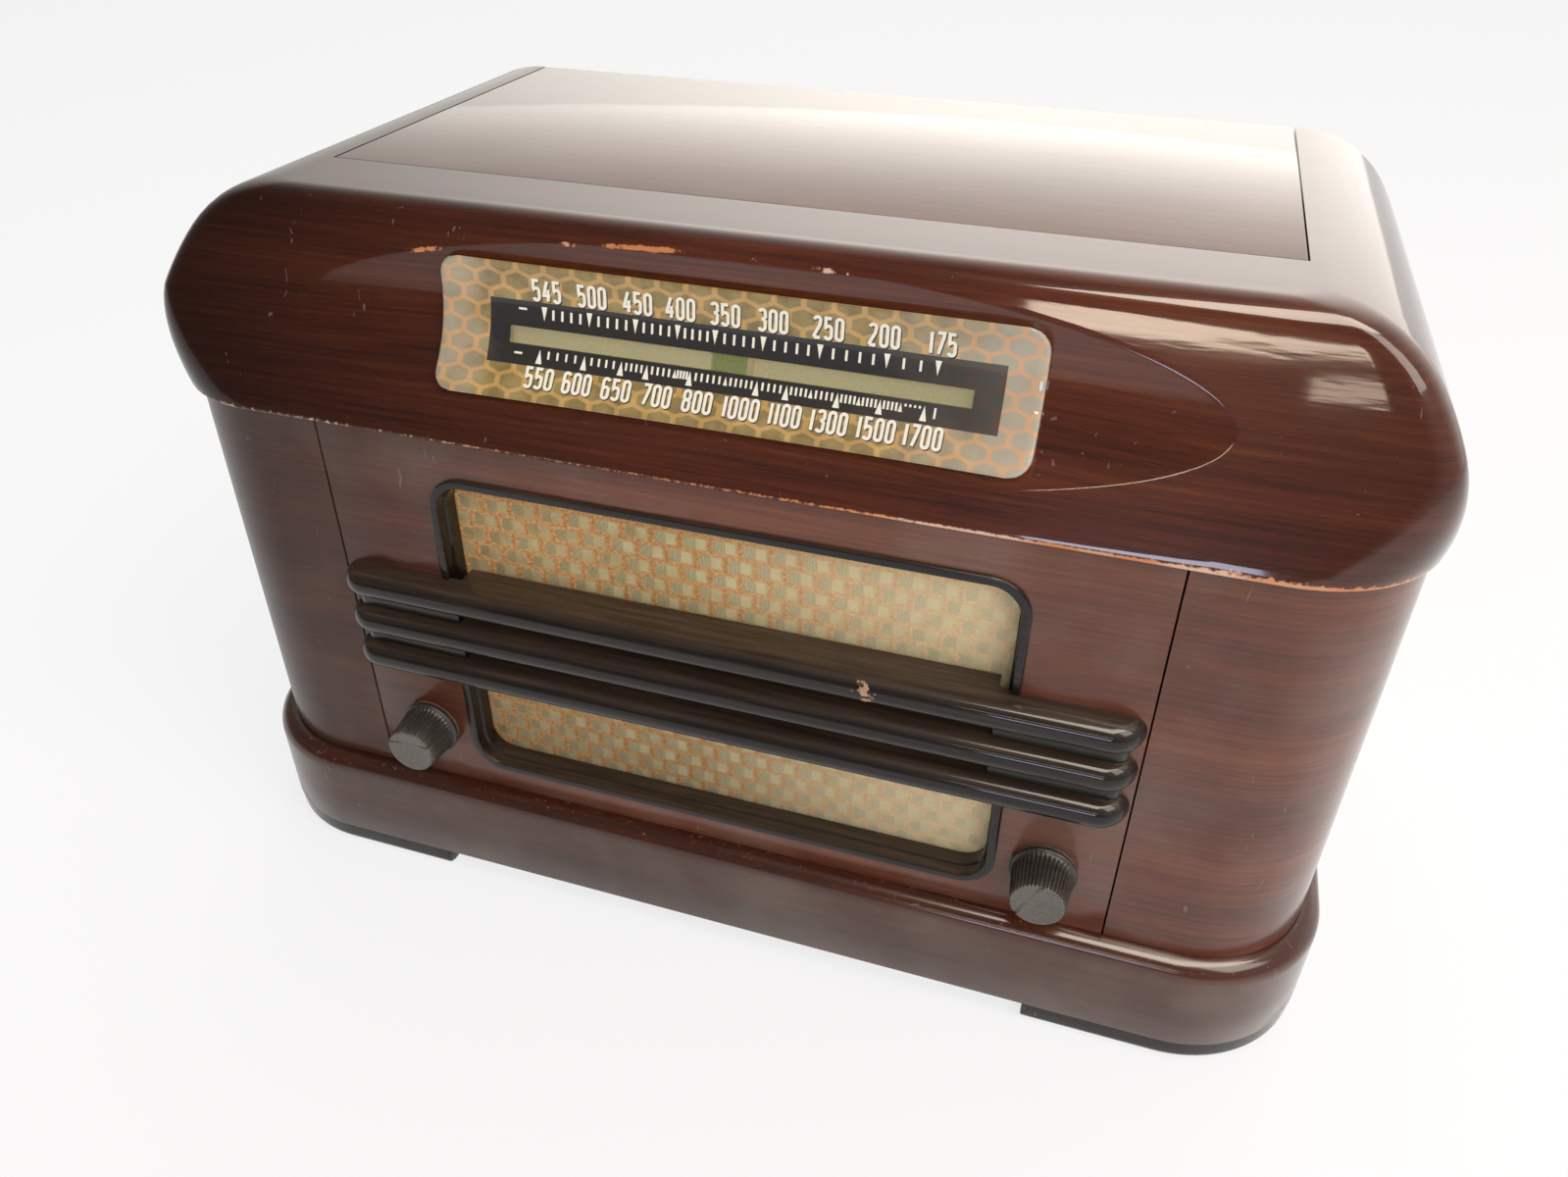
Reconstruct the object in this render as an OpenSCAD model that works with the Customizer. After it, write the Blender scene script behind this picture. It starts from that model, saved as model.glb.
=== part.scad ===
/* [Cabinet] */
// Width of the cabinet across its two sides, above the plinth
body_w = 378; // [370:1:400]
// Depth of the cabinet, from the face of the front panel to the back edge
body_d = 195; // [190:1:215]
// Height of the cabinet, from the table to the flat of its top
body_h = 244.4; // [242:0.2:252]
// Radius of the two upright front corners
corner_r = 38; // [34:1:44]
// Thickness of the bent plywood sides
side_t = 8; // [6:0.5:9]
// Width of the front panel, from seam to seam
panel_w = 255.8; // [252:0.2:262]
// Thickness of the front panel
panel_t = 8; // [6:0.5:9]
// Width of the upright seam beside the front panel
seam_w = 0.5; // [0.2:0.1:0.8]

/* [Hood] */
// Height of the hood, from its lower lip to the flat top
hood_h = 61.7; // [59:0.1:66]
// How far the lip stands out in front of the panel
lip_front = 3.3; // [2:0.1:5]
// How far the lip stands out beside the body
lip_side = 1.6; // [0.8:0.1:2.5]
// Lean of the hood's front, from the vertical
hood_lean = 21.65; // [19:0.05:24]
// Width of the rounded shoulder, from the lip to the flat top
shoulder_w = 46; // [42:0.5:52]
// Radius of the shoulder where it meets the flat top
shoulder_top_r = 38; // [34:0.5:40]
// Radius of the brow between the leaning front and the flat top
brow_r = 8.7; // [6:0.1:12]
// Thickness of the hood's roof and shoulders
hood_wall = 9; // [8:0.5:10]
// Thickness of the solid front that the recess is carved into
hood_front_t = 14; // [13:0.5:15]
// Width of the veneered panel let into the top
top_panel_w = 285.8; // [270:0.2:287]
// Distance of the top panel's front seam behind the front panel's face
top_panel_y = 53.2; // [48:0.2:60]
// Thickness of the top panel
top_panel_t = 3; // [2:0.2:4]
// Width of the fine groove around the top panel
top_seam_w = 0.4; // [0.2:0.1:0.7]

/* [Recess and dial] */
// Height of the recess's middle above the hood's lip
recess_up = 32.2; // [31:0.1:33]
// Half length of the lens shaped recess
recess_half_l = 132.5; // [126:0.5:138]
// Half height of the recess, measured up the slope
recess_half_h = 27.1; // [25:0.1:28]
// Greatest depth of the recess
recess_depth = 9.4; // [8:0.1:10]
// Width of the dial glass
glass_w = 171.5; // [168:0.5:174]
// Height of the dial glass, measured up the slope
glass_h = 37.8; // [36:0.1:39]
// Radius of the corners of the dial glass
glass_corner_r = 6; // [4:0.5:8]
// How far the glass's face stands above the carved wood
glass_raise = 2.6; // [2:0.1:3.2]
// Gap between the back of the glass and the wood that it seats on
glass_seat = 0.2; // [0.1:0.05:0.3]
// Margin of wood that carries the glass at each end
glass_land_x = 7; // [5:0.5:9]
// Margin of wood that carries the glass above and below
glass_land_z = 5; // [4:0.5:6]
// Depth of the pale tray behind the glass, below the hood's leaning face
tray_depth = 12; // [11.8:0.1:12.8]
// Thickness of the sheet steel used for the dial
dial_sheet_t = 1; // [0.8:0.1:1.2]
// Place of the pointer, right of the middle
pointer_x = 6; // [2:0.5:10]

/* [Dial drive] */
// Distance of the cord's plane behind the panel's face
cord_y = 46; // [45:0.5:47]
// Radius of the cord's path round the drum
drum_r = 36; // [34:0.5:36.5]
// Radius of the cord's path round a pulley
pulley_r = 7; // [6:0.25:7.5]
// Distance of the left pulley from the middle
left_pulley_x = 78; // [76:0.5:80]
// Distance of the right pulley from the middle, clear of the drum's rim
right_pulley_x = 124; // [122:0.5:128]
// Height of the pulleys above the hood's lip
pulley_up = 33.3; // [32:0.1:34]
// Radius of the dial cord
cord_r = 0.4; // [0.3:0.05:0.5]
// Distance of the tuning condenser's shaft right of the middle
gang_x = 76; // [74:0.5:80]
// Height of the tuning condenser's shaft above the table
gang_z = 106; // [105:0.5:110]
// Radius of the tuning condenser's shaft
gang_shaft_r = 3; // [2.5:0.1:3.2]
// Radius of the tuning condenser's moving plates
rotor_r = 20; // [17:0.5:21]
// Number of moving plates in each section
rotor_plates = 7; // [4:1:7]
// Distance from one moving plate to the next
plate_pitch = 3; // [2.8:0.1:3.2]
// Thickness of the condenser's plates
plate_t = 0.7; // [0.5:0.05:0.8]

/* [Front] */
// Outer width of the moulded trim round the grille
trim_w = 184; // [176:0.5:188]
// Distance of the trim's upper edge below the hood's lip
trim_below_hood = 13.3; // [12.5:0.1:16]
// Distance of the trim's lower edge above the plinth
trim_above_plinth = 9.4; // [8.5:0.1:12]
// Width of the trim's face
trim_face = 6; // [5:0.5:8]
// Height of the trim above the panel
trim_raise = 2.4; // [2:0.1:3]
// Thickness of the trim's leg inside the opening
trim_leg = 2.5; // [2:0.1:3]
// Radius of the trim's inner corners
trim_corner_r = 6; // [4:0.5:9]
// Length of the three grille bars
bar_l = 254.8; // [240:0.2:262]
// Height of one bar
bar_h = 9.5; // [8:0.1:10]
// How far the bars stand out from the panel
bar_out = 9.5; // [7:0.1:11]
// Distance from one bar to the next
bar_pitch = 14.3; // [13:0.1:15]
// Height of the middle bar above the grille's middle
bar_up = 1.85; // [-1:0.05:4]
// How far the blocks between the bars stand out from the panel
filler_out = 4.5; // [3:0.1:6]
// How much shorter the blocks are than the bars, at each end
filler_short = 3; // [2:0.5:6]
// Thickness of the grille cloth
cloth_t = 0.8; // [0.5:0.1:1.2]
// Thickness of the speaker's baffle board
baffle_t = 6; // [4:0.5:8]
// Distance of each knob from the middle
knob_x = 107; // [105:0.5:110]
// Height of the knobs above the table
knob_z = 66.4; // [65:0.2:68]
// How far the knobs reach in front of the panel
knob_reach = 16; // [14:0.5:19]
// Radius of the knob's rim
knob_rim_r = 10.4; // [10:0.1:12]
// Radius of the knob's face
knob_face_r = 8.4; // [8:0.1:9]
// Number of flutes round a knob
knob_flutes = 44; // [30:2:48]
// Radius of the control shafts
shaft_r = 3.175; // [2.8:0.025:3.2]
// Running clearance between a shaft and its bearing
running_gap = 0.05; // [0.02:0.01:0.08]

/* [Plinth and feet] */
// Height of the plinth's upper edge above the table
plinth_z = 43.3; // [41:0.1:46]
// How far the plinth stands out from the body
plinth_out = 6.6; // [5.5:0.1:9]
// Thickness of the plinth moulding, front to back
plinth_t = 20; // [18:0.5:22]
// Radius of the plinth's rounded upper edge
plinth_round = 6.2; // [4:0.1:6.4]
// Depth of the rabbet that the body stands in
rabbet_h = 8; // [6:0.5:10]
// Height of the feet
foot_h = 7.8; // [7:0.1:12]
// Width of the foot rails
foot_w = 24; // [20:0.5:30]
// Distance of the front feet's inner ends from the middle
foot_gap_x = 108; // [90:1:120]
// Thickness of the base board
base_t = 10; // [8:0.5:12]

/* [Chassis] */
// Width of the chassis pan
pan_w = 300; // [296:1:310]
// Depth of the chassis pan, front to back
pan_d = 110; // [108:1:120]
// Distance of the pan's front behind the panel's face
pan_y = 52; // [51:0.5:53]
// Height of the pan's top above the table
pan_z = 80; // [79.5:0.25:82]
// Thickness of the pan's sheet steel
pan_t = 1.2; // [1:0.1:1.5]
// Width of the pan's bottom flanges
pan_flange = 14; // [12:0.5:16]
// Radius of a small tube's glass
tube_r = 14; // [12:0.5:15]
// Height of a small tube above its socket
tube_h = 78; // [65:1:90]
// Radius of a large tube's glass
big_tube_r = 17; // [15:0.5:18]
// Height of a large tube above its socket
big_tube_h = 95; // [85:1:110]
// Width of an intermediate frequency can
can_w = 35; // [30:0.5:36]
// Height of an intermediate frequency can
can_h = 66; // [50:1:80]
// Radius of the filter capacitor's can
cap_r = 17.5; // [14:0.5:18]
// Height of the filter capacitor's can
cap_h = 64; // [45:1:80]

/* [Speaker] */
// Gap between the chassis pan's top and the speaker's magnet pot
magnet_gap = 5.05; // [4:0.05:7]
// Margin of the baffle board above the speaker's flange
speaker_margin = 0.35; // [0.2:0.05:3]
// Width of the flange's ring round the sound hole in the baffle board
speaker_ring = 10; // [9.5:0.1:12]
// How much smaller the paper cone's rim is than the sound hole
cone_in = 2.7; // [2.5:0.1:5]
// Depth of the speaker's basket behind the baffle board
basket_d = 35.2; // [33:0.1:36]
// Radius of the speaker's magnet pot
magnet_r = 26; // [24:0.5:27]
// Length of the speaker's magnet pot
magnet_l = 34.8; // [30:0.2:37]
// Radius of the voice coil's former
coil_r = 12.7; // [12:0.1:13]

/* [Back] */
// Thickness of the pressed board back cover
cover_t = 3.2; // [2.5:0.1:4]
// How far the back cover lies inside the cabinet's back edge
cover_inset = 3; // [2.6:0.1:5]
// Clearance round the back cover
cover_gap = 0.5; // [0.3:0.1:1]
// Width of the wooden strips that the back cover is screwed to
cleat_w = 12; // [10:0.5:14]
// Radius of a vent hole
vent_r = 3.5; // [2.5:0.25:4]
// Number of vent holes in a row
vent_count = 15; // [9:2:17]
// Radius of the cord inlet's bore
inlet_r = 4; // [3:0.25:4.5]
// Distance of the cord inlet left of the middle
inlet_x = 90; // [70:1:110]
// Height of the cord inlet above the table
inlet_z = 34; // [32:0.5:40]

/* [Hidden] */
$fn = 64;

// Smallest step that lets one shape cut cleanly through another
cut = 1;
// Glue line between two curved wooden faces
glue_gap = 0.15;
// Gap at rest beside pieces that move or that are only dropped in
ease = 0.3;

// The pieces are drawn with the front panel's face at y = 0 and then moved so
// that the origin lies under the middle of the whole radio
front_y = -(body_d - knob_reach) / 2;

// Plan of the body
body_half = body_w / 2;
corner_x = body_half - corner_r;
hood_z = body_h - hood_h;
wall_z = plinth_z - rabbet_h;
wall_h = hood_z - wall_z;

// Side outline of the hood: two tangent arcs from the lip to the flat top
lip_half = body_half + lip_side;
shoulder_side_r = (pow(shoulder_w, 2) + pow(hood_h - shoulder_top_r, 2)
    - pow(shoulder_top_r, 2)) / (2 * (shoulder_w - shoulder_top_r));
side_arc_c = [lip_half - shoulder_side_r, hood_z];
top_arc_c = [lip_half - shoulder_w, body_h - shoulder_top_r];
arc_turn = atan2(top_arc_c[1] - side_arc_c[1], top_arc_c[0] - side_arc_c[0]);

// Roof and leaning front of the hood
roof_in_z = body_h - hood_wall;
brow_tangent = brow_r / tan(45 + hood_lean / 2);
function front_face_y(z) = (z - hood_z) * tan(hood_lean) - lip_front;
function front_inner_y(z) = front_face_y(z) + hood_front_t / cos(hood_lean);

// The recess is cut by a long spindle whose axis floats in front of the slope
recess_z = hood_z + recess_up;
recess_y = front_face_y(recess_z);
spindle_r = (pow(recess_half_h, 2) / recess_depth + recess_depth) / 2;
spindle_axis = spindle_r - recess_depth;
spindle_arc_r = (pow(recess_half_l, 2) + pow(recess_depth, 2)) / (2 * recess_depth);
spindle_reach = recess_half_l + 12;

// Tray behind the glass, in the slope's own frame
opening_half_w = glass_w / 2 - glass_land_x;
opening_half_h = glass_h / 2 - glass_land_z;
tray_gap = 0.7;
tray_half_w = opening_half_w - tray_gap;
tray_low = tray_gap - opening_half_h;
tray_high = opening_half_h - 2;
tray_flange_w = 18;
flange_top = -hood_front_t;
flange_x = tray_half_w + tray_flange_w;
flange_low = -opening_half_h - 6;
flange_high = tray_high + 8;
dial_screw_x = flange_x - 6;
dial_screw_u = [-12, 14];
dial_screw_r = 1.4;
dial_screw_l = 6.5;
dial_screw_head_r = 2.8;
dial_screw_head_h = 1.6;

// Brackets behind the dial plate, for the rail and the pulleys
pulley_z = hood_z + pulley_up;
arm_t = 1.2;
arm_out = flange_x - ease;
arm_low = pulley_z - 10;
arm_high = pulley_z + 12;
tab_t = 1.5;
tab_y = cord_y - 6;
tab_margin = 8;
rail_r = 1.25;
rail_y = cord_y - 9.5;
rail_z = pulley_z + 6;
pulley_t = 4;
pulley_flange = 1.5;
pulley_stud_r = 2;

// Lamps under the dial plate
lamp_x = 45;
lamp_y = 36;
lamp_z = hood_z + 10.7;
lamp_base_r = 4.5;
lamp_globe_r = 5.5;
lamp_shell_t = 1.4;
lamp_shell_h = 12;
lamp_tab_w = 16;
lamp_strap_z = lamp_z + 7.6;

// Dial cord: signed radii turn anticlockwise when positive, seen from the front
cord_top_z = pulley_z + pulley_r;
tuning_wrap_r = shaft_r + cord_r + 0.05;
drum_c = [gang_x, gang_z];
left_c = [-left_pulley_x, pulley_z];
right_c = [right_pulley_x, pulley_z];
tuning_c = [knob_x, knob_z];
function run_angle(c1, r1, c2, r2) =
    atan2(c2[1] - c1[1], c2[0] - c1[0]) - asin((r2 - r1) / norm(c2 - c1));
function run_point(c, r, angle) = c + r * [sin(angle), -cos(angle)];
to_left = run_angle(drum_c, drum_r, left_c, -pulley_r);
to_tuning = run_angle(right_c, -pulley_r, tuning_c, -tuning_wrap_r);
to_drum = run_angle(tuning_c, -tuning_wrap_r, drum_c, drum_r);
cord_wrap_pitch = 1.1;
drum_flange = 1.5;
drum_t = 5;

// Tuning condenser
gang_y = pan_y + 8;
gang_l = 59;
gang_half_w = 24;
gang_sheet_t = 1.5;
gang_top = gang_z + rotor_r + 2;
section_y = [gang_y + 5, gang_y + 33];
stator_r = rotor_r + 2;
stator_rod_r = 1.2;
stator_rod_x = rotor_r + 1;
stator_rod_z = 14;
stator_lug_z = stator_rod_z + 2;
stator_lug_h = 5;
stator_lug_w = 9;
stator_lug_x = stator_rod_x + 2 - stator_lug_w;
gang_rest_turn = 99.5;
hub_r = 5;

// Grille opening
trim_h = hood_z - trim_below_hood - trim_above_plinth - plinth_z;
grille_z = plinth_z + trim_above_plinth + trim_h / 2;
trim_in_w = trim_w - 2 * trim_face;
trim_in_h = trim_h - 2 * trim_face;
opening_gap = 0.1;
bar_z = grille_z + bar_up;
bar_nose_r = bar_h / 2;
bar_top_z = bar_z + bar_pitch + bar_h / 2;
bar_low_z = bar_z - bar_pitch - bar_h / 2;
bar_inner_gap = 0.4;
bar_depth_in = panel_t - 1.5;
cloth_y = panel_t;
baffle_y = panel_t + cloth_t;
baffle_back = baffle_y + baffle_t;
cloth_margin = 10;
cloth_w = trim_in_w + 2 * cloth_margin;
cloth_h = trim_in_h + 2 * cloth_margin;

// Knobs and their felts
felt_t = 1;
felt_r = knob_rim_r - 0.5;
felt_hole_r = shaft_r + 1;
knob_back = felt_t + ease;
knob_h = knob_reach - knob_back;
knob_rim_h = 2.2;
knob_barrel_r = knob_face_r + 1.2;
knob_mark_off = 3;
knob_dish = 0.9;
knob_edge = 0.5;
knob_bore_r = shaft_r + 0.025;
knob_bore_h = knob_h - 3.5;
flute_r = 0.45;
panel_hole_r = shaft_r + 2.8;
volume_mark = 2;
tuning_mark = 64;

// Controls on the pan's front apron
bearing_r = shaft_r + running_gap;
nose_r = 4.7;
nose_gap = 0.1;
nose_front = pan_y - 3.5;
control_r = 12.5;
control_l = 12;
nut_af = 11;
nut_t = 2;
shaft_front = knob_back + knob_bore_h - 0.5;
control_back = pan_y + pan_t + control_l;

// Chassis places, right of the middle and behind the panel
socket_r = 13.8;
socket_flange_r = 17;
socket_flange_t = 1.2;
socket_depth = 10;
front_row_y = pan_y + 52;
back_row_y = front_row_y + 36;
converter_at = [30, front_row_y];
if_at = [-52, front_row_y];
detector_at = [-130, front_row_y - 6];
output_at = [-8, back_row_y];
rectifier_at = [124, back_row_y];
input_can_at = [-12, front_row_y];
output_can_at = [-92, front_row_y];
cap_at = [126, front_row_y - 8];
transformer_at = [47, back_row_y];
sockets_at = [converter_at, if_at, detector_at, output_at, rectifier_at];
tube_floor = pan_z + socket_flange_t;
tube_base_h = 22;
base_top = foot_h + base_t;
pan_h = pan_z - base_top;
bolt_r = 2;
bolt_x = pan_w / 2 - pan_flange / 2;
bolts_y = [pan_y + 18, pan_y + pan_d - 18];
bolt_head_r = 4.5;
bolt_head_h = 3;
bolt_recess = 4;

// Speaker, measured back from the baffle board
speaker_z = pan_z + magnet_gap + magnet_r;
speaker_r = grille_z + cloth_h / 2 - speaker_margin - speaker_z;
sound_hole_r = speaker_r - speaker_ring;
cone_r = sound_hole_r - cone_in;
gasket_t = 1.5;
flange_t = 1.2;
basket_skirt_r = speaker_r - 6;
basket_wall = 1.2;
flange_in_r = basket_skirt_r - basket_wall;
surround_gap = 0.5;
surround_t = 0.7;
speaker_screw_ring = speaker_r - 2.6;
speaker_screw_r = 1.2;
speaker_screw_l = baffle_t / 2;
paper_t = 0.7;
former_t = 0.5;
coil_gap = 0.7;
pole_r = coil_r - former_t - coil_gap;
cone_neck_t = 27;
former_end = 50;
slot_end = 58;

// Back cover
cover_back = body_d - cover_inset;
cover_y = cover_back - cover_t;
cover_mid_half = body_half - side_t - cover_gap;
cover_low_half = body_half + plinth_out - plinth_t - cover_gap;
cover_screw_low = wall_z + 26.7;
cover_screw_high = hood_z - 12.7;
cover_screws_z = [cover_screw_low, (cover_screw_low + cover_screw_high) / 2, cover_screw_high];
cover_screw_r = 1.6;
cover_screw_l = 9;
vent_pitch = 20;
vent_rows = [base_top + 40, base_top + 52, roof_in_z - 23.5, roof_in_z - 13.5];
grommet_r = inlet_r + 2.5;
grommet_flange_r = inlet_r + 4;
grommet_flange_t = 2;
aerial_w = 250;
aerial_low = pan_z + 6;
aerial_high = hood_z + 13.3;
aerial_t = 3;
aerial_ring = 10;

// Shared shapes

module at_front() {
    translate([0, front_y, 0]) children();
}

// A disc's sector between two angles that are less than 120 degrees apart
module pie(c, r, from, to) {
    translate(c) intersection() {
        circle(r);
        polygon([[0, 0], 2 * r * [cos(from), sin(from)], 2 * r * [cos(to), sin(to)]]);
    }
}

// Plan of the body drawn in by an inset: straight back, rounded front corners
module body_plan(inset) {
    r = corner_r - inset;
    translate([-corner_x, inset]) square([2 * corner_x, body_d - inset]);
    translate([-corner_x - r, corner_r]) square([2 * (corner_x + r), body_d - corner_r]);
    for (side = [-1, 1]) translate([side * corner_x, corner_r]) circle(r);
}

// One side run of a moulding and the corner before it; the profile's first
// axis points out from the body's face and its second axis points up
module moulding_side() {
    translate([body_half, corner_r, 0]) rotate([90, 0, 0])
        mirror([0, 0, 1]) linear_extrude(body_d - corner_r) children();
    translate([corner_x, corner_r, 0]) rotate([0, 0, -90])
        rotate_extrude(angle = 90) translate([corner_r, 0]) children();
}

// The front run of a moulding between two distances right of the middle
module moulding_front(from, to) {
    translate([to, 0, 0]) rotate([90, 0, -90]) linear_extrude(to - from) children();
}

// A frame swept round a rounded opening that lies in the XZ plane; the
// profile's first axis points away from the opening, its second to the front
module frame_sweep(w, h, r) {
    rotate([90, 0, 0]) {
        for (side = [0, 180]) rotate([0, 0, side]) {
            translate([w / 2, 0, 0]) rotate([90, 0, 0])
                linear_extrude(h - 2 * r, center = true) children();
            translate([0, h / 2, 0]) rotate([0, 0, 90]) rotate([90, 0, 0])
                linear_extrude(w - 2 * r, center = true) children();
            translate([w / 2 - r, h / 2 - r, 0])
                rotate_extrude(angle = 90) translate([r, 0]) children();
            translate([w / 2 - r, r - h / 2, 0]) rotate([0, 0, -90])
                rotate_extrude(angle = 90) translate([r, 0]) children();
        }
    }
}

module rounded_rect(w, h, r) {
    square([w - 2 * r, h], center = true);
    square([w, h - 2 * r], center = true);
    for (x = [-1, 1]) for (y = [-1, 1])
        translate([x * (w / 2 - r), y * (h / 2 - r)]) circle(r);
}

// A cylinder that runs back from a point on the front
module rod_back(x, z, y, r, l) {
    translate([x, y, z]) rotate([-90, 0, 0]) cylinder(r = r, h = l);
}

// Frame of the hood's leaning face: x to the right, y up the slope, z outwards
module on_slope() {
    translate([0, recess_y, recess_z]) rotate([90 - hood_lean, 0, 0]) children();
}

// Cabinet

module side_right_shape() {
    translate([0, 0, wall_z]) linear_extrude(wall_h) difference() {
        body_plan(0);
        body_plan(side_t);
        translate([-body_w, -cut]) square([body_w + panel_w / 2 + seam_w, body_d + 2 * cut]);
    }
}

module side_right() {
    color("#4a1c12") at_front() side_right_shape();
}

module side_left() {
    color("#4a1c12") at_front() mirror([1, 0, 0]) side_right_shape();
}

module front_panel() {
    color("#54221a") at_front() difference() {
        translate([-panel_w / 2, 0, wall_z]) cube([panel_w, panel_t, wall_h]);
        translate([0, -cut, grille_z]) rotate([-90, 0, 0])
            linear_extrude(panel_t + 2 * cut)
                rounded_rect(trim_in_w + 2 * (trim_leg + opening_gap),
                    trim_in_h + 2 * (trim_leg + opening_gap),
                    trim_corner_r + trim_leg + opening_gap);
        for (side = [-1, 1])
            rod_back(side * knob_x, knob_z, -cut, panel_hole_r, panel_t + 2 * cut);
    }
}

// Side outline of the hood, drawn in by an inset
module hood_outline(inset, low) {
    for (side = [0, 1]) mirror([side, 0]) {
        pie(side_arc_c, shoulder_side_r - inset, 0, arc_turn);
        pie(top_arc_c, shoulder_top_r - inset, arc_turn, 90);
        translate([0, low]) square([lip_half - inset, hood_z - low]);
    }
    polygon([
        [-side_arc_c[0], hood_z], side_arc_c, top_arc_c,
        [top_arc_c[0], body_h - inset], [-top_arc_c[0], body_h - inset], [-top_arc_c[0], top_arc_c[1]]
    ]);
}

// Front outline of the hood, in depth and height, with its rounded brow
module hood_profile() {
    top = body_h + cut;
    reach = 3 * brow_r;
    difference() {
        polygon([[-lip_front, hood_z], [front_face_y(top), top], [body_d, top], [body_d, hood_z]]);
        translate([front_face_y(body_h) + brow_tangent, body_h - brow_r]) difference() {
            polygon([[0, 0], [0, reach], [-reach, reach], [-reach, reach * tan(hood_lean)]]);
            circle(brow_r);
        }
    }
}

module hood_plan() {
    r = corner_r + lip_side;
    translate([-corner_x, -lip_front]) square([2 * corner_x, body_d + lip_front]);
    translate([-lip_half, r - lip_front]) square([2 * lip_half, body_d + lip_front - r]);
    for (side = [-1, 1]) translate([side * (lip_half - r), r - lip_front]) circle(r);
}

module hood_block() {
    intersection() {
        translate([0, body_d, 0]) rotate([90, 0, 0])
            linear_extrude(body_d + lip_front + cut) hood_outline(0, hood_z - cut);
        translate([-lip_half - cut, 0, 0]) rotate([90, 0, 90])
            linear_extrude(2 * (lip_half + cut)) hood_profile();
        translate([0, 0, hood_z]) linear_extrude(hood_h + cut) hood_plan();
    }
}

module hood_cavity() {
    low = hood_z - cut;
    intersection() {
        translate([0, body_d + cut, 0]) rotate([90, 0, 0])
            linear_extrude(body_d + 2 * cut) hood_outline(hood_wall, low - cut);
        translate([-lip_half, 0, 0]) rotate([90, 0, 90]) linear_extrude(2 * lip_half) polygon([
            [front_inner_y(low), low],
            [front_inner_y(roof_in_z), roof_in_z],
            [body_d + cut, roof_in_z],
            [body_d + cut, low]
        ]);
        translate([0, 0, low]) linear_extrude(hood_h) body_plan(side_t);
    }
}

// Half of the spindle's outline, drawn in by an inset from its long arc
module spindle_outline(inset) {
    intersection() {
        translate([spindle_r - spindle_arc_r, 0]) circle(spindle_arc_r - inset, $fn = 256);
        translate([0, -spindle_reach]) square([spindle_r + cut, 2 * spindle_reach]);
    }
}

module on_spindle() {
    on_slope() translate([0, 0, spindle_axis]) rotate([0, 90, 0])
        rotate_extrude($fn = 128) children();
}

module dial_screw_places() {
    for (side = [-1, 1]) for (u = dial_screw_u)
        on_slope() translate([side * dial_screw_x, u, 0]) children();
}

module hood() {
    color("#4d1f14") at_front() difference() {
        hood_block();
        hood_cavity();
        on_spindle() spindle_outline(0);
        on_slope() translate([0, 0, -2 * hood_front_t]) linear_extrude(2 * hood_front_t + cut)
            square([2 * opening_half_w, 2 * opening_half_h], center = true);
        translate([-top_panel_w / 2 - top_seam_w, top_panel_y - top_seam_w, body_h - top_panel_t])
            cube([top_panel_w + 2 * top_seam_w, body_d, top_panel_t + cut]);
        dial_screw_places() translate([0, 0, -hood_front_t - cut])
            cylinder(r = dial_screw_r + running_gap, h = dial_screw_l + cut + ease);
    }
}

module top_panel() {
    color("#5a2a20") at_front()
        translate([-top_panel_w / 2, top_panel_y, body_h - top_panel_t])
            cube([top_panel_w, body_d - top_panel_y, top_panel_t]);
}

module plinth_profile() {
    flat = plinth_out - plinth_round;
    translate([plinth_out - plinth_t, foot_h]) square([plinth_t, wall_z - foot_h]);
    translate([glue_gap, wall_z - cut])
        square([flat - glue_gap + 0.05, rabbet_h + cut]);
    translate([glue_gap, wall_z - cut])
        square([plinth_out - glue_gap, rabbet_h + cut - plinth_round]);
    pie([flat, plinth_z - plinth_round], plinth_round, 0, 90);
}

module plinth() {
    color("#441a12") at_front() {
        moulding_front(-corner_x, corner_x) plinth_profile();
        for (side = [0, 1]) mirror([side, 0, 0]) moulding_side() plinth_profile();
    }
}

module base_board() {
    color("#8a6a46") at_front() difference() {
        translate([0, 0, foot_h]) linear_extrude(base_t)
            body_plan(plinth_t - plinth_out + ease);
        for (side = [-1, 1]) for (y = bolts_y) translate([side * bolt_x, y, foot_h - cut]) {
            cylinder(r = bolt_r + running_gap, h = base_t + 2 * cut);
            cylinder(r = bolt_head_r + ease, h = bolt_recess + cut);
        }
    }
}

module foot_profile() {
    foot_round = 3;
    foot_edge = plinth_out - 0.4;
    translate([plinth_out - foot_w, 0]) square([foot_edge - foot_round + foot_w - plinth_out, foot_h]);
    translate([plinth_out - foot_w, foot_round])
        square([foot_edge + foot_w - plinth_out, foot_h - foot_round]);
    pie([foot_edge - foot_round, foot_round], foot_round, -90, 0);
}

module foot_shape() {
    moulding_side() foot_profile();
    moulding_front(foot_gap_x, corner_x) foot_profile();
}

module foot_right() {
    color("#1c1614") at_front() foot_shape();
}

module foot_left() {
    color("#1c1614") at_front() mirror([1, 0, 0]) foot_shape();
}

// Glue blocks that back the two upright seams
module seam_blocks() {
    block_w = 12;
    block_back = 20;
    block_low = wall_z + 10;
    block_high = hood_z - 8;
    seam_x = panel_w / 2;
    color("#9b7a52") at_front() for (side = [0, 1]) mirror([side, 0, 0]) {
        translate([seam_x - block_w, panel_t, block_low])
            cube([block_w, block_back - panel_t, block_high - block_low]);
        translate([seam_x, max(panel_t, side_t), block_low])
            cube([seam_w, block_back - max(panel_t, side_t), block_high - block_low]);
        translate([seam_x + seam_w, side_t, block_low])
            cube([block_w, block_back - side_t, block_high - block_low]);
    }
}

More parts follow.
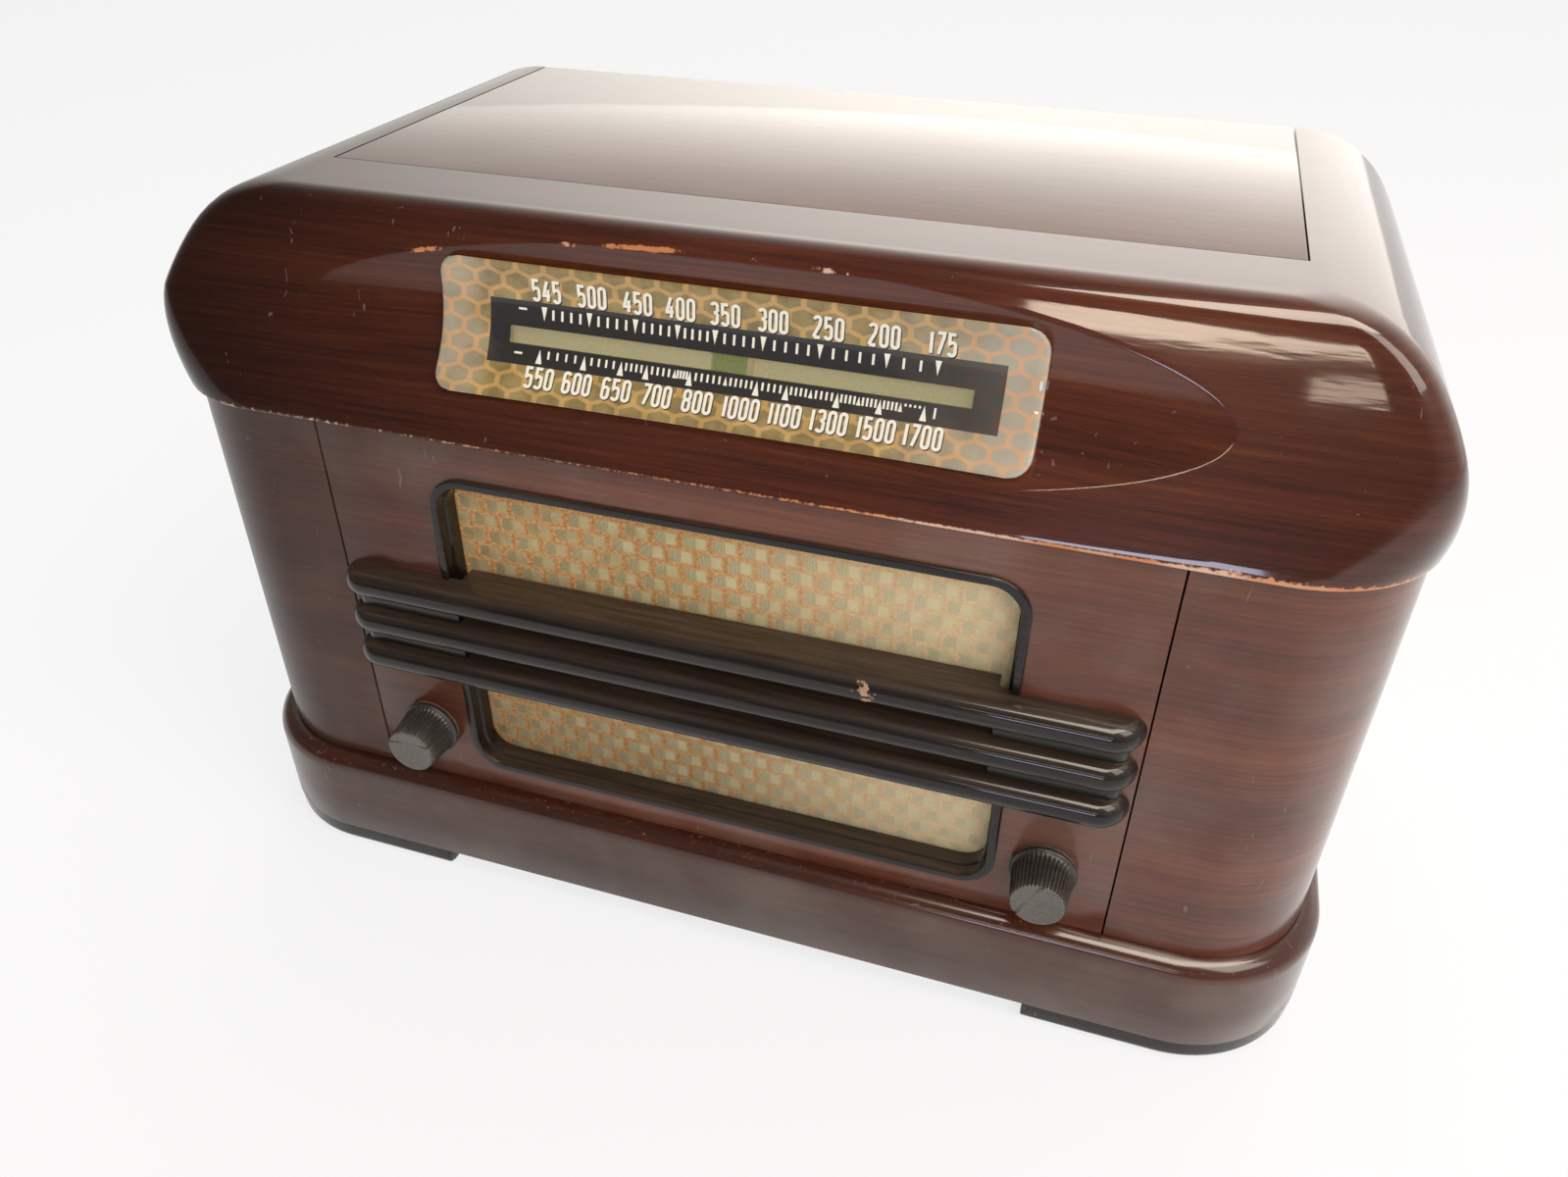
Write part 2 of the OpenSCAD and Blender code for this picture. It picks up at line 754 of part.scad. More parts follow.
// Upright strips that the back cover is screwed to
module back_cleats() {
    inner_x = body_half - side_t;
    color("#9b7a52") at_front() for (side = [0, 1]) mirror([side, 0, 0]) difference() {
        translate([inner_x - cleat_w, cover_y - cleat_w, wall_z + cut])
            cube([cleat_w, cleat_w, wall_h - 2 * cut]);
        for (z = cover_screws_z)
            rod_back(inner_x - cleat_w / 2, z, cover_y - cover_screw_l - ease,
                cover_screw_r + running_gap, cover_screw_l + cut);
    }
}

// Grille

module trim_profile() {
    edge_r = trim_raise / 2;
    translate([0, -panel_t + opening_gap]) square([trim_leg, panel_t - opening_gap + edge_r]);
    square([trim_face, edge_r]);
    translate([edge_r, 0]) square([trim_face - 2 * edge_r, trim_raise]);
    for (x = [edge_r, trim_face - edge_r]) translate([x, edge_r]) circle(edge_r);
}

module grille_trim() {
    color("#241512") at_front() difference() {
        translate([0, 0, grille_z])
            frame_sweep(trim_in_w, trim_in_h, trim_corner_r) trim_profile();
        translate([-trim_w, -trim_raise - cut, bar_low_z - opening_gap])
            cube([2 * trim_w, trim_raise + cut, bar_top_z - bar_low_z + 2 * opening_gap]);
    }
}

// Half section of a bar, from its middle plane out to its round nose
module bar_section(out) {
    translate([0, -bar_h / 2]) square([out - bar_nose_r, bar_h]);
    translate([out - bar_nose_r, 0]) circle(bar_nose_r);
}

module grille_bar(step) {
    run = bar_l / 2 - bar_out;
    in_half = trim_in_w / 2 - bar_inner_gap;
    color("#2a1915") at_front() translate([0, 0, bar_z + step * bar_pitch]) {
        intersection() {
            moulding_front(-run, run) bar_section(bar_out);
            translate([-run, -bar_out - cut, -bar_h]) cube([2 * run, bar_out + cut, 2 * bar_h]);
        }
        for (side = [0, 1]) mirror([side, 0, 0]) translate([run, 0, 0]) rotate([0, 0, -90])
            rotate_extrude(angle = 90) intersection() {
                bar_section(bar_out);
                translate([0, -bar_h]) square([bar_out + cut, 2 * bar_h]);
            }
        translate([-in_half, -cut, -bar_h / 2]) cube([2 * in_half, bar_depth_in + cut, bar_h]);
    }
}

module grille_bar_upper() {
    grille_bar(1);
}

module grille_bar_middle() {
    grille_bar(0);
}

module grille_bar_lower() {
    grille_bar(-1);
}

// Four blocks that carry the bars outside the opening
module bar_fillers() {
    filler_x = trim_w / 2 - trim_face;
    filler_end = bar_l / 2 - filler_short;
    color("#2a1915") at_front() for (side = [0, 1]) mirror([side, 0, 0]) for (step = [-0.5, 0.5])
        translate([0, 0, bar_z + step * bar_pitch - (bar_pitch - bar_h) / 2])
            linear_extrude(bar_pitch - bar_h) {
                translate([filler_x, -filler_out])
                    square([filler_end - filler_out - filler_x, filler_out]);
                pie([filler_end - filler_out, 0], filler_out, -90, 0);
            }
}

module grille_cloth() {
    color("#b08a4c") at_front()
        translate([-cloth_w / 2, cloth_y, grille_z - cloth_h / 2]) cube([cloth_w, cloth_t, cloth_h]);
}

module baffle_board() {
    color("#6e5236") at_front() difference() {
        translate([-cloth_w / 2, baffle_y, grille_z - cloth_h / 2]) cube([cloth_w, baffle_t, cloth_h]);
        rod_back(0, speaker_z, baffle_y - cut, sound_hole_r, baffle_t + 2 * cut);
        translate([0, baffle_back, speaker_z]) rotate([-90, 0, 0]) speaker_screw_places()
            translate([0, 0, -speaker_screw_l])
                cylinder(r = speaker_screw_r + running_gap, h = speaker_screw_l + cut);
    }
}

// Dial

module dial_glass() {
    color("#c8b27a") at_front() intersection() {
        on_spindle() difference() {
            spindle_outline(glass_seat);
            spindle_outline(glass_raise);
        }
        on_slope() translate([0, 0, -hood_front_t]) linear_extrude(hood_front_t + spindle_axis / 4)
            rounded_rect(glass_w, glass_h, glass_corner_r);
    }
}

module lamp_shell_places() {
    for (side = [-1, 1]) translate([side * lamp_x, lamp_y, lamp_z]) children();
}

// The part of an arm that is bent over to carry a pulley's stud
module pulley_tab(from, to) {
    translate([from, tab_y, arm_low]) cube([to - from, tab_t, arm_high - arm_low]);
}

// Pale tray that stands forward in the hood's opening, its flanges behind the
// wood, the brackets for rail and pulleys and the two lamp shells, all spot
// welded into one piece
module dial_backplate() {
    lamp_tab_low = lamp_z - dial_sheet_t;
    tab_back = lamp_y + lamp_base_r + 2;
    wall_h = hood_front_t + dial_sheet_t - tray_depth;
    color("#c9bf96") at_front() difference() {
        union() {
            on_slope() {
                translate([-tray_half_w, tray_low, -tray_depth - dial_sheet_t])
                    cube([2 * tray_half_w, tray_high - tray_low, dial_sheet_t]);
                translate([-tray_half_w, tray_low, flange_top - dial_sheet_t])
                    cube([2 * tray_half_w, dial_sheet_t, wall_h]);
                translate([-flange_x, flange_low, flange_top - dial_sheet_t])
                    cube([2 * flange_x, tray_low + dial_sheet_t - flange_low, dial_sheet_t]);
                for (side = [0, 1]) mirror([side, 0, 0]) {
                    translate([tray_half_w - dial_sheet_t, tray_low, flange_top - dial_sheet_t])
                        cube([dial_sheet_t, tray_high - tray_low, wall_h]);
                    translate([tray_half_w - dial_sheet_t, flange_low, flange_top - dial_sheet_t])
                        cube([tray_flange_w + dial_sheet_t, flange_high - flange_low, dial_sheet_t]);
                }
            }
            for (side = [0, 1]) mirror([side, 0, 0]) {
                translate([arm_out - arm_t, 0, 0]) rotate([90, 0, 90]) linear_extrude(arm_t) polygon([
                    [front_inner_y(arm_low) + dial_sheet_t / 2, arm_low],
                    [tab_y + tab_t, arm_low],
                    [tab_y + tab_t, arm_high],
                    [front_inner_y(arm_high) + dial_sheet_t / 2, arm_high]
                ]);
                translate([lamp_x - lamp_tab_w / 2, 0, 0]) rotate([90, 0, 90])
                    linear_extrude(lamp_tab_w) polygon([
                        [front_inner_y(lamp_tab_low) + ease, lamp_tab_low],
                        [tab_back, lamp_tab_low],
                        [tab_back, lamp_z],
                        [front_inner_y(lamp_z) + ease + dial_sheet_t, lamp_z],
                        [front_inner_y(lamp_strap_z) + ease + dial_sheet_t, lamp_strap_z],
                        [front_inner_y(lamp_strap_z) + ease, lamp_strap_z]
                    ]);
            }
            pulley_tab(-arm_out, tab_margin - left_pulley_x);
            pulley_tab(arm_out - arm_t, right_pulley_x + tab_margin);
            for (x = [-left_pulley_x, right_pulley_x])
                rod_back(x, pulley_z, tab_y, pulley_stud_r, cord_y + pulley_t / 2 + cut - tab_y);
            lamp_shell_places() translate([0, 0, -lamp_shell_h])
                cylinder(r = lamp_base_r + lamp_shell_t, h = lamp_shell_h);
        }
        translate([-flange_x - cut, rail_y, rail_z]) rotate([0, 90, 0])
            cylinder(r = rail_r + running_gap, h = 2 * (flange_x + cut));
        lamp_shell_places() translate([0, 0, lamp_shell_t - lamp_shell_h])
            cylinder(r = lamp_base_r + running_gap, h = lamp_shell_h);
        dial_screw_places() translate([0, 0, -tray_depth - hood_front_t])
            cylinder(r = dial_screw_r + running_gap, h = hood_front_t + tray_depth);
    }
}

module dial_screws() {
    color("#9a948a") at_front() dial_screw_places() {
        translate([0, 0, -hood_front_t - dial_sheet_t])
            cylinder(r = dial_screw_r, h = dial_screw_l + dial_sheet_t);
        translate([0, 0, -hood_front_t - dial_sheet_t - dial_screw_head_h])
            cylinder(r = dial_screw_head_r, h = dial_screw_head_h);
    }
}

module pointer_rail() {
    color("#a8a49a") at_front() translate([-flange_x - cut, rail_y, rail_z]) rotate([0, 90, 0])
        cylinder(r = rail_r, h = 2 * (flange_x + cut));
}

// Carriage on the rail, hook at the cord, and the needle, which comes forward
// over the tray's upper edge and hangs before it
module dial_pointer() {
    half_l = 5;
    block_t = 3.8;
    block_low = rail_z - 4;
    strap_w = 4;
    needle_w = 1.2;
    needle_t = 0.8;
    needle_at = tray_depth - 1.4;
    needle_low = -5;
    needle_high = (tray_high + opening_half_h + needle_t) / 2;
    strap_l = (rail_y - front_face_y(recess_z)) / cos(hood_lean) - needle_high * tan(hood_lean)
        - needle_at - 1;
    hook_z = cord_top_z - cord_r - ease;
    hook_t = 1.2;
    color("#b3201c") at_front() translate([pointer_x, 0, 0]) difference() {
        union() {
            translate([-half_l, rail_y - block_t / 2, block_low])
                cube([2 * half_l, block_t, rail_z + 3 - block_low]);
            translate([-half_l, rail_y, hook_z - hook_t]) cube([2 * half_l, cord_y + 1.5 - rail_y, hook_t]);
            on_slope() {
                translate([-strap_w / 2, needle_high - needle_t, -needle_at - strap_l])
                    cube([strap_w, needle_t, strap_l]);
                translate([-needle_w / 2, needle_low, -needle_at - needle_t])
                    cube([needle_w, needle_high - needle_low, needle_t]);
            }
        }
        translate([-half_l - cut, rail_y, rail_z]) rotate([0, 90, 0])
            cylinder(r = rail_r + running_gap, h = 2 * (half_l + cut));
    }
}

// A straight run of the cord in its plane, a little finer than the bends that
// it runs into at both ends
module cord_run(from, to) {
    lap = 0.2;
    angle = atan2(to[1] - from[1], to[0] - from[0]);
    translate([from[0], cord_y, from[1]]) rotate([0, 90 - angle, 0])
        translate([0, 0, -lap]) cylinder(r = cord_r - 0.03, h = norm(to - from) + 2 * lap);
}

// A bend of the cord round a centre, anticlockwise from one angle to another
module cord_bend(c, r, from, to) {
    translate([c[0], cord_y, c[1]]) rotate([90, 0, 0]) rotate([0, 0, from])
        rotate_extrude(angle = to - from) translate([r, 0]) circle(cord_r, $fn = 24);
}

module dial_cord() {
    color("#3a3028") at_front() {
        cord_run(run_point(drum_c, drum_r, to_left), run_point(left_c, -pulley_r, to_left));
        cord_bend(left_c, pulley_r, 90, to_left + 90);
        cord_run([left_c[0], cord_top_z], [right_c[0], cord_top_z]);
        cord_bend(right_c, pulley_r, to_tuning + 90, 90);
        cord_run(run_point(right_c, -pulley_r, to_tuning),
            run_point(tuning_c, -tuning_wrap_r, to_tuning));
        cord_run(run_point(tuning_c, -tuning_wrap_r, to_drum), run_point(drum_c, drum_r, to_drum));
        cord_bend(drum_c, drum_r, to_drum - 90, to_left + 270);
        cord_bend(tuning_c, tuning_wrap_r, to_drum - 270, to_tuning + 90);
        for (turn = [-1, 1]) translate([0, turn * cord_wrap_pitch, 0])
            cord_bend(tuning_c, tuning_wrap_r, 0, 360);
        translate([tuning_c[0], cord_y - cord_wrap_pitch, tuning_c[1] - tuning_wrap_r])
            rotate([-90, 0, 0]) cylinder(r = cord_r / 2, h = 2 * cord_wrap_pitch);
    }
}

// A grooved wheel with its axis along the depth
module grooved_wheel(path_r, flange, t, bore_r) {
    groove_r = path_r - cord_r - 0.1;
    rotate([-90, 0, 0]) rotate_extrude() polygon([
        [bore_r, -t / 2], [path_r + flange, -t / 2], [path_r + flange, -t / 2 + 0.6],
        [groove_r, -t / 2 + 1.2], [groove_r, t / 2 - 1.2],
        [path_r + flange, t / 2 - 0.6], [path_r + flange, t / 2], [bore_r, t / 2]
    ]);
}

module pulley_at(x) {
    color("#b59a55") at_front() translate([x, cord_y, pulley_z])
        grooved_wheel(pulley_r, pulley_flange, pulley_t, pulley_stud_r + running_gap);
}

module pulley_left() {
    pulley_at(-left_pulley_x);
}

module pulley_right() {
    pulley_at(right_pulley_x);
}

module dial_drum() {
    web_r = 13;
    web_at = 21;
    color("#a9a59c") at_front() translate([gang_x, cord_y, gang_z]) difference() {
        union() {
            grooved_wheel(drum_r, drum_flange, drum_t, gang_shaft_r + 0.025);
            rotate([-90, 0, 0]) difference() {
                cylinder(r = hub_r + 2, h = drum_t);
                translate([0, 0, -cut]) cylinder(r = gang_shaft_r + 0.025, h = drum_t + 2 * cut);
            }
        }
        for (turn = [30 : 120 : 270]) rotate([0, turn, 0])
            translate([web_at, -drum_t, 0]) rotate([-90, 0, 0])
                cylinder(r = web_r / 1.6, h = 2 * drum_t);
    }
}

// Tuning condenser

module gang_frame() {
    plate_w = 2 * gang_half_w;
    color("#8f8c84") at_front() difference() {
        union() {
            translate([gang_x - gang_half_w, gang_y, pan_z]) cube([plate_w, gang_l, gang_sheet_t]);
            for (y = [gang_y, gang_y + gang_l - gang_sheet_t])
                translate([gang_x - gang_half_w, y, pan_z])
                    cube([plate_w, gang_sheet_t, gang_top - pan_z]);
            for (y = section_y)
                translate([gang_x + stator_lug_x, y, pan_z])
                    cube([stator_lug_w, plate_pitch * rotor_plates, gang_z - stator_lug_z - pan_z]);
        }
        rod_back(gang_x, gang_z, gang_y - cut, gang_shaft_r + running_gap, gang_l + 2 * cut);
    }
}

module gang_stators() {
    color("#c2c0ba") at_front() for (y = section_y) translate([gang_x, y, gang_z]) {
        for (i = [0 : rotor_plates - 1])
            translate([0, (i + 0.5) * plate_pitch + plate_t, 0]) rotate([90, 0, 0])
                linear_extrude(plate_t) {
                    intersection() {
                        difference() {
                            circle(stator_r);
                            circle(hub_r + 1);
                        }
                        translate([1, -stator_r]) square([stator_r, 2 * stator_r]);
                    }
                    for (z = [-stator_lug_z, stator_lug_z - stator_lug_h])
                        translate([stator_lug_x, z]) square([stator_lug_w, stator_lug_h]);
                }
        for (z = [-1, 1])
            translate([stator_rod_x, 0.5 * plate_pitch, z * stator_rod_z]) rotate([-90, 0, 0])
                cylinder(r = stator_rod_r, h = plate_pitch * (rotor_plates - 1) + plate_t);
    }
}

module gang_rotor() {
    shaft_y = cord_y - drum_t / 2 - 1;
    color("#bdbab2") at_front() translate([gang_x, 0, gang_z]) {
        rod_back(0, 0, shaft_y, gang_shaft_r, gang_y + gang_l + 1 - shaft_y);
        for (y = section_y) {
            rod_back(0, 0, y - 1, hub_r, plate_pitch * (rotor_plates - 1) + plate_t + 2);
            for (i = [0 : rotor_plates - 1]) translate([0, y + i * plate_pitch, 0])
                rotate([0, -gang_rest_turn, 0]) rotate([-90, 0, 0]) linear_extrude(plate_t)
                    intersection() {
                        circle(rotor_r);
                        translate([0, -rotor_r]) square([rotor_r, 2 * rotor_r]);
                    }
        }
    }
}

// Controls

module knob_shape(mark) {
    taper = atan((knob_barrel_r - knob_face_r) / (knob_h - knob_rim_h));
    rim_round = knob_rim_h / 2;
    dish_r = (pow(knob_face_r - knob_edge, 2) / knob_dish + knob_dish) / 2;
    translate([0, -knob_back, 0]) rotate([90, 0, 0]) difference() {
        rotate_extrude() {
            square([knob_rim_r - rim_round, knob_rim_h]);
            translate([knob_rim_r - rim_round, rim_round]) circle(rim_round, $fn = 32);
            polygon([
                [0, knob_rim_h - cut], [knob_barrel_r, knob_rim_h - cut],
                [knob_barrel_r, knob_rim_h], [knob_face_r, knob_h - knob_edge],
                [knob_face_r - knob_edge, knob_h], [0, knob_h]
            ]);
        }
        translate([0, 0, -cut]) cylinder(r = knob_bore_r, h = knob_bore_h + cut);
        translate([0, 0, knob_h + dish_r - knob_dish]) sphere(dish_r, $fn = 96);
        for (i = [0 : knob_flutes - 1]) rotate([0, 0, (i + 0.5) * 360 / knob_flutes])
            translate([knob_barrel_r + 0.1, 0, knob_rim_h + flute_r]) rotate([0, -taper, 0])
                cylinder(r = flute_r, h = knob_h, $fn = 16);
        rotate([0, 0, mark]) translate([0, knob_mark_off, knob_h - knob_dish / 2])
            rotate([45, 0, 0]) cube([2 * knob_rim_r, 0.8, 0.8], center = true);
    }
}

module volume_knob() {
    color("#33271f") at_front() translate([-knob_x, 0, knob_z]) knob_shape(volume_mark);
}

module tuning_knob() {
    color("#33271f") at_front() translate([knob_x, 0, knob_z]) knob_shape(tuning_mark);
}

module knob_felts() {
    color("#5b4634") at_front() for (side = [-1, 1]) difference() {
        rod_back(side * knob_x, knob_z, -felt_t, felt_r, felt_t);
        rod_back(side * knob_x, knob_z, -felt_t - cut, felt_hole_r, felt_t + 2 * cut);
    }
}

module tuning_shaft() {
    color("#a8a49a") at_front()
        rod_back(knob_x, knob_z, -shaft_front, shaft_r, shaft_front + pan_y + pan_t + 9);
}

module volume_shaft() {
    color("#a8a49a") at_front()
        rod_back(-knob_x, knob_z, -shaft_front, shaft_r, shaft_front + control_back - 3);
}

// Threaded nose through the apron, with its nut in front
module apron_nose(x) {
    rod_back(x, knob_z, nose_front, nose_r, pan_y + pan_t - nose_front);
    translate([x, pan_y - nut_t, knob_z]) rotate([-90, 0, 0])
        cylinder(r = nut_af / sqrt(3), h = nut_t, $fn = 6);
}

module tuning_bushing() {
    color("#b8a468") at_front() difference() {
        union() {
            apron_nose(knob_x);
            rod_back(knob_x, knob_z, pan_y + pan_t, nose_r + 3, 2);
            rod_back(knob_x, knob_z, pan_y + pan_t, nose_r, 7);
        }
        rod_back(knob_x, knob_z, nose_front - cut, bearing_r, 30);
    }
}

module volume_control() {
    lug_w = 4;
    color("#6f6a60") at_front() difference() {
        union() {
            apron_nose(-knob_x);
            rod_back(-knob_x, knob_z, pan_y + pan_t, control_r, control_l);
            for (x = [-7, 0, 7])
                translate([x - knob_x - lug_w / 2, pan_y + pan_t + 1, knob_z - control_r - 5])
                    cube([lug_w, 1, 8]);
        }
        rod_back(-knob_x, knob_z, nose_front - cut, bearing_r, control_back - 2 - nose_front + cut);
    }
}

// Chassis

module chassis_pan() {
    color("#9c988c") at_front() difference() {
        union() {
            translate([-pan_w / 2, pan_y, base_top]) difference() {
                cube([pan_w, pan_d, pan_h]);
                translate([pan_t, pan_t, -cut])
                    cube([pan_w - 2 * pan_t, pan_d - 2 * pan_t, pan_h - pan_t + cut]);
            }
            for (side = [0, 1]) mirror([side, 0, 0])
                translate([pan_w / 2 - pan_flange, pan_y, base_top]) cube([pan_flange, pan_d, pan_t]);
        }
        for (at = sockets_at)
            translate([at[0], at[1], pan_z - 2 * pan_t]) cylinder(r = socket_r + 0.1, h = 4 * pan_t);
        for (side = [-1, 1]) {
            rod_back(side * knob_x, knob_z, pan_y - cut, nose_r + nose_gap, pan_t + 2 * cut);
            for (y = bolts_y) translate([side * bolt_x, y, base_top - cut])
                cylinder(r = bolt_r + running_gap, h = pan_t + 2 * cut);
        }
    }
}

module chassis_bolts() {
    bolt_low = foot_h + bolt_recess - bolt_head_h;
    nut_h = 3;
    color("#8f8c84") at_front() for (side = [-1, 1]) for (y = bolts_y)
        translate([side * bolt_x, y, 0]) {
            translate([0, 0, bolt_low]) cylinder(r = bolt_head_r, h = bolt_head_h);
            translate([0, 0, bolt_low]) cylinder(r = bolt_r, h = base_top + pan_t + nut_h + 2 - bolt_low);
            translate([0, 0, base_top + pan_t]) cylinder(r = 4, h = nut_h, $fn = 6);
        }
}

module tube_sockets() {
    color("#2b2018") at_front() for (at = sockets_at) translate([at[0], at[1], pan_z]) difference() {
        union() {
            translate([0, 0, -socket_depth]) cylinder(r = socket_r, h = socket_depth);
            cylinder(r = socket_flange_r, h = socket_flange_t);
        }
        translate([0, 0, -socket_depth - cut]) cylinder(r = 4, h = socket_depth + socket_flange_t + 2 * cut);
    }
}

// Moulded base with a glass bulb that narrows to a dome
module tube(at, r, h) {
    dome = r * 0.75;
    color("#7d7468") at_front() translate([at[0], at[1], tube_floor]) {
        cylinder(r = tube_r + 1, h = tube_base_h);
        translate([0, 0, tube_base_h]) cylinder(r1 = tube_r, r2 = r, h = 4);
        translate([0, 0, tube_base_h + 4]) cylinder(r = r, h = h - tube_base_h - 4 - dome);
        translate([0, 0, h - dome]) intersection() {
            translate([0, 0, dome / 2 - r * 1.05]) sphere(r * 1.36);
            cylinder(r = r, h = dome + cut);
        }
    }
}

module converter_tube() {
    tube(converter_at, tube_r, tube_h);
}

module if_tube() {
    tube(if_at, tube_r, tube_h);
}

module detector_tube() {
    tube(detector_at, tube_r, tube_h);
}

module output_tube() {
    tube(output_at, big_tube_r, big_tube_h);
}

module rectifier_tube() {
    tube(rectifier_at, big_tube_r, big_tube_h);
}

module if_can(at) {
    color("#b9b7b0") at_front() translate([at[0], at[1], pan_z]) difference() {
        linear_extrude(can_h) rounded_rect(can_w, can_w, 4);
        for (x = [-8, 8]) translate([x, 0, can_h - 1]) cylinder(r = 3, h = 1 + cut);
    }
}

module input_if_can() {
    if_can(input_can_at);
}

module output_if_can() {
    if_can(output_can_at);
}

module filter_capacitor() {
    bead = 1;
    color("#aeb0b0") at_front() translate([cap_at[0], cap_at[1], pan_z]) rotate_extrude() {
        square([cap_r - bead, cap_h]);
        translate([0, 5]) square([cap_r, cap_h - 5 - bead]);
        square([cap_r, 3]);
        translate([cap_r - bead, cap_h - bead]) circle(bead, $fn = 24);
    }
}

module output_transformer() {
    core = [46, 18, 38];
    coil = [32, 34, 26];
    foot = [62, 18, 2];
    color("#5c5850") at_front() translate([transformer_at[0], transformer_at[1], pan_z]) {
        translate([0, 0, core[2] / 2]) cube(core, center = true);
        translate([0, 0, core[2] / 2]) cube(coil, center = true);
        translate([0, 0, foot[2] / 2]) cube(foot, center = true);
    }
}

// Speaker

module on_speaker() {
    at_front() translate([0, baffle_back, speaker_z]) rotate([-90, 0, 0]) children();
}

module speaker_basket() {
    skirt_t = gasket_t + flange_t;
    window = [30, 2 * speaker_r, 12];
    color("#7b776c") on_speaker() difference() {
        rotate_extrude() {
            translate([flange_in_r, gasket_t]) square([speaker_r - flange_in_r, flange_t]);
            polygon([
                [basket_skirt_r, gasket_t], [basket_skirt_r, skirt_t],
                [magnet_r, basket_d], [coil_r + 1.5, basket_d], [coil_r + 1.5, basket_d - basket_wall],
                [magnet_r - 0.5, basket_d - basket_wall],
                [flange_in_r, gasket_t + surround_t + 0.1], [flange_in_r, gasket_t]
            ]);
        }
        for (turn = [0, 90]) rotate([0, 0, turn + 45])
            translate([0, 0, skirt_t + 8 + window[2] / 2]) cube(window, center = true);
        speaker_screw_places() translate([0, 0, -cut])
            cylinder(r = speaker_screw_r + running_gap, h = skirt_t + 2 * cut);
    }
}

module speaker_screw_places() {
    for (turn = [45 : 90 : 315]) rotate([0, 0, turn])
        translate([speaker_screw_ring, 0, 0]) children();
}

module speaker_gasket() {
    color("#4a4238") on_speaker() difference() {
        cylinder(r = speaker_r - 0.5, h = gasket_t);
        translate([0, 0, -cut]) cylinder(r = sound_hole_r, h = gasket_t + 2 * cut);
        speaker_screw_places() translate([0, 0, -cut])
            cylinder(r = speaker_screw_r + running_gap, h = gasket_t + 2 * cut);
    }
}

module cone_surround() {
    color("#5a4c3c") on_speaker() translate([0, 0, gasket_t]) difference() {
        cylinder(r = flange_in_r - 0.05, h = surround_t);
        translate([0, 0, -cut]) cylinder(r = cone_r + surround_gap, h = surround_t + 2 * cut);
    }
}

module speaker_cone() {
    rim_t = gasket_t + 0.3;
    color("#6a5a46") on_speaker() rotate_extrude() {
        polygon([
            [cone_r, rim_t], [cone_r, rim_t + paper_t], [coil_r, cone_neck_t + paper_t],
            [coil_r, former_end], [coil_r - former_t, former_end],
            [coil_r - former_t, cone_neck_t - 2], [0, cone_neck_t - 5],
            [0, cone_neck_t - 6], [coil_r + 1, cone_neck_t - 2.4], [cone_r - 1.5, rim_t]
        ]);
    }
}

module speaker_magnet() {
    pot_end = basket_d + magnet_l;
    gap_out = coil_r + coil_gap;
    color("#4c4a44") on_speaker() rotate_extrude() polygon([
        [0, basket_d], [pole_r, basket_d], [pole_r, slot_end], [gap_out, slot_end],
        [gap_out, basket_d], [magnet_r, basket_d], [magnet_r, pot_end - 2],
        [magnet_r - 2, pot_end], [0, pot_end]
    ]);
}

module speaker_screws() {
    color("#a8a49a") on_speaker() speaker_screw_places() {
        translate([0, 0, ease - speaker_screw_l])
            cylinder(r = speaker_screw_r, h = speaker_screw_l + gasket_t + flange_t);
        translate([0, 0, gasket_t + flange_t]) cylinder(r = 2.2, h = 1.6);
    }
}

// Back

module cover_outline() {
    hood_outline(hood_wall + cover_gap, hood_z - cut);
    translate([-cover_mid_half, wall_z + cover_gap])
        square([2 * cover_mid_half, hood_z - wall_z]);
    translate([-cover_low_half, base_top + cover_gap])
        square([2 * cover_low_half, wall_z - base_top + cut]);
}

module back_cover() {
    color("#6b4a2e") at_front() difference() {
        translate([0, cover_back, 0]) rotate([90, 0, 0]) linear_extrude(cover_t) cover_outline();
        for (z = vent_rows) for (i = [0 : vent_count - 1])
            rod_back((i - (vent_count - 1) / 2) * vent_pitch, z, cover_y - cut, vent_r, cover_t + 2 * cut);
        for (side = [-1, 1]) for (z = cover_screws_z)
            rod_back(side * (body_half - side_t - cleat_w / 2), z, cover_y - cut,
                cover_screw_r + running_gap, cover_t + 2 * cut);
        rod_back(-inlet_x, inlet_z, cover_y - cut, grommet_r + running_gap, cover_t + 2 * cut);
    }
}

module cover_screws() {
    color("#b8a468") at_front() for (side = [-1, 1]) for (z = cover_screws_z) {
        x = side * (body_half - side_t - cleat_w / 2);
        rod_back(x, z, cover_y - cover_screw_l, cover_screw_r, cover_screw_l + cover_t);
        rod_back(x, z, cover_back, 2 * cover_screw_r, 1.8);
    }
}

module cord_grommet() {
    grommet_l = cover_t + 2 * grommet_flange_t;
    color("#1d1b19") at_front() translate([-inlet_x, cover_y - grommet_flange_t, inlet_z])
        rotate([-90, 0, 0]) difference() {
            union() {
                cylinder(r = grommet_r, h = grommet_l);
                cylinder(r = grommet_flange_r, h = grommet_flange_t);
                translate([0, 0, grommet_l - grommet_flange_t])
                    cylinder(r = grommet_flange_r, h = grommet_flange_t);
            }
            translate([0, 0, -cut]) cylinder(r = inlet_r, h = grommet_l + 2 * cut);
        }
}

module loop_aerial() {
    h = aerial_high - aerial_low;
    color("#8c6b3c") at_front() translate([0, cover_y, (aerial_low + aerial_high) / 2])
        rotate([90, 0, 0]) {
            linear_extrude(aerial_t) rounded_rect(aerial_w, h, 20);
            linear_extrude(2 * aerial_t) difference() {
                rounded_rect(aerial_w - 6, h - 6, 17);
                rounded_rect(aerial_w - 6 - 2 * aerial_ring, h - 6 - 2 * aerial_ring, 8);
            }
        }
}

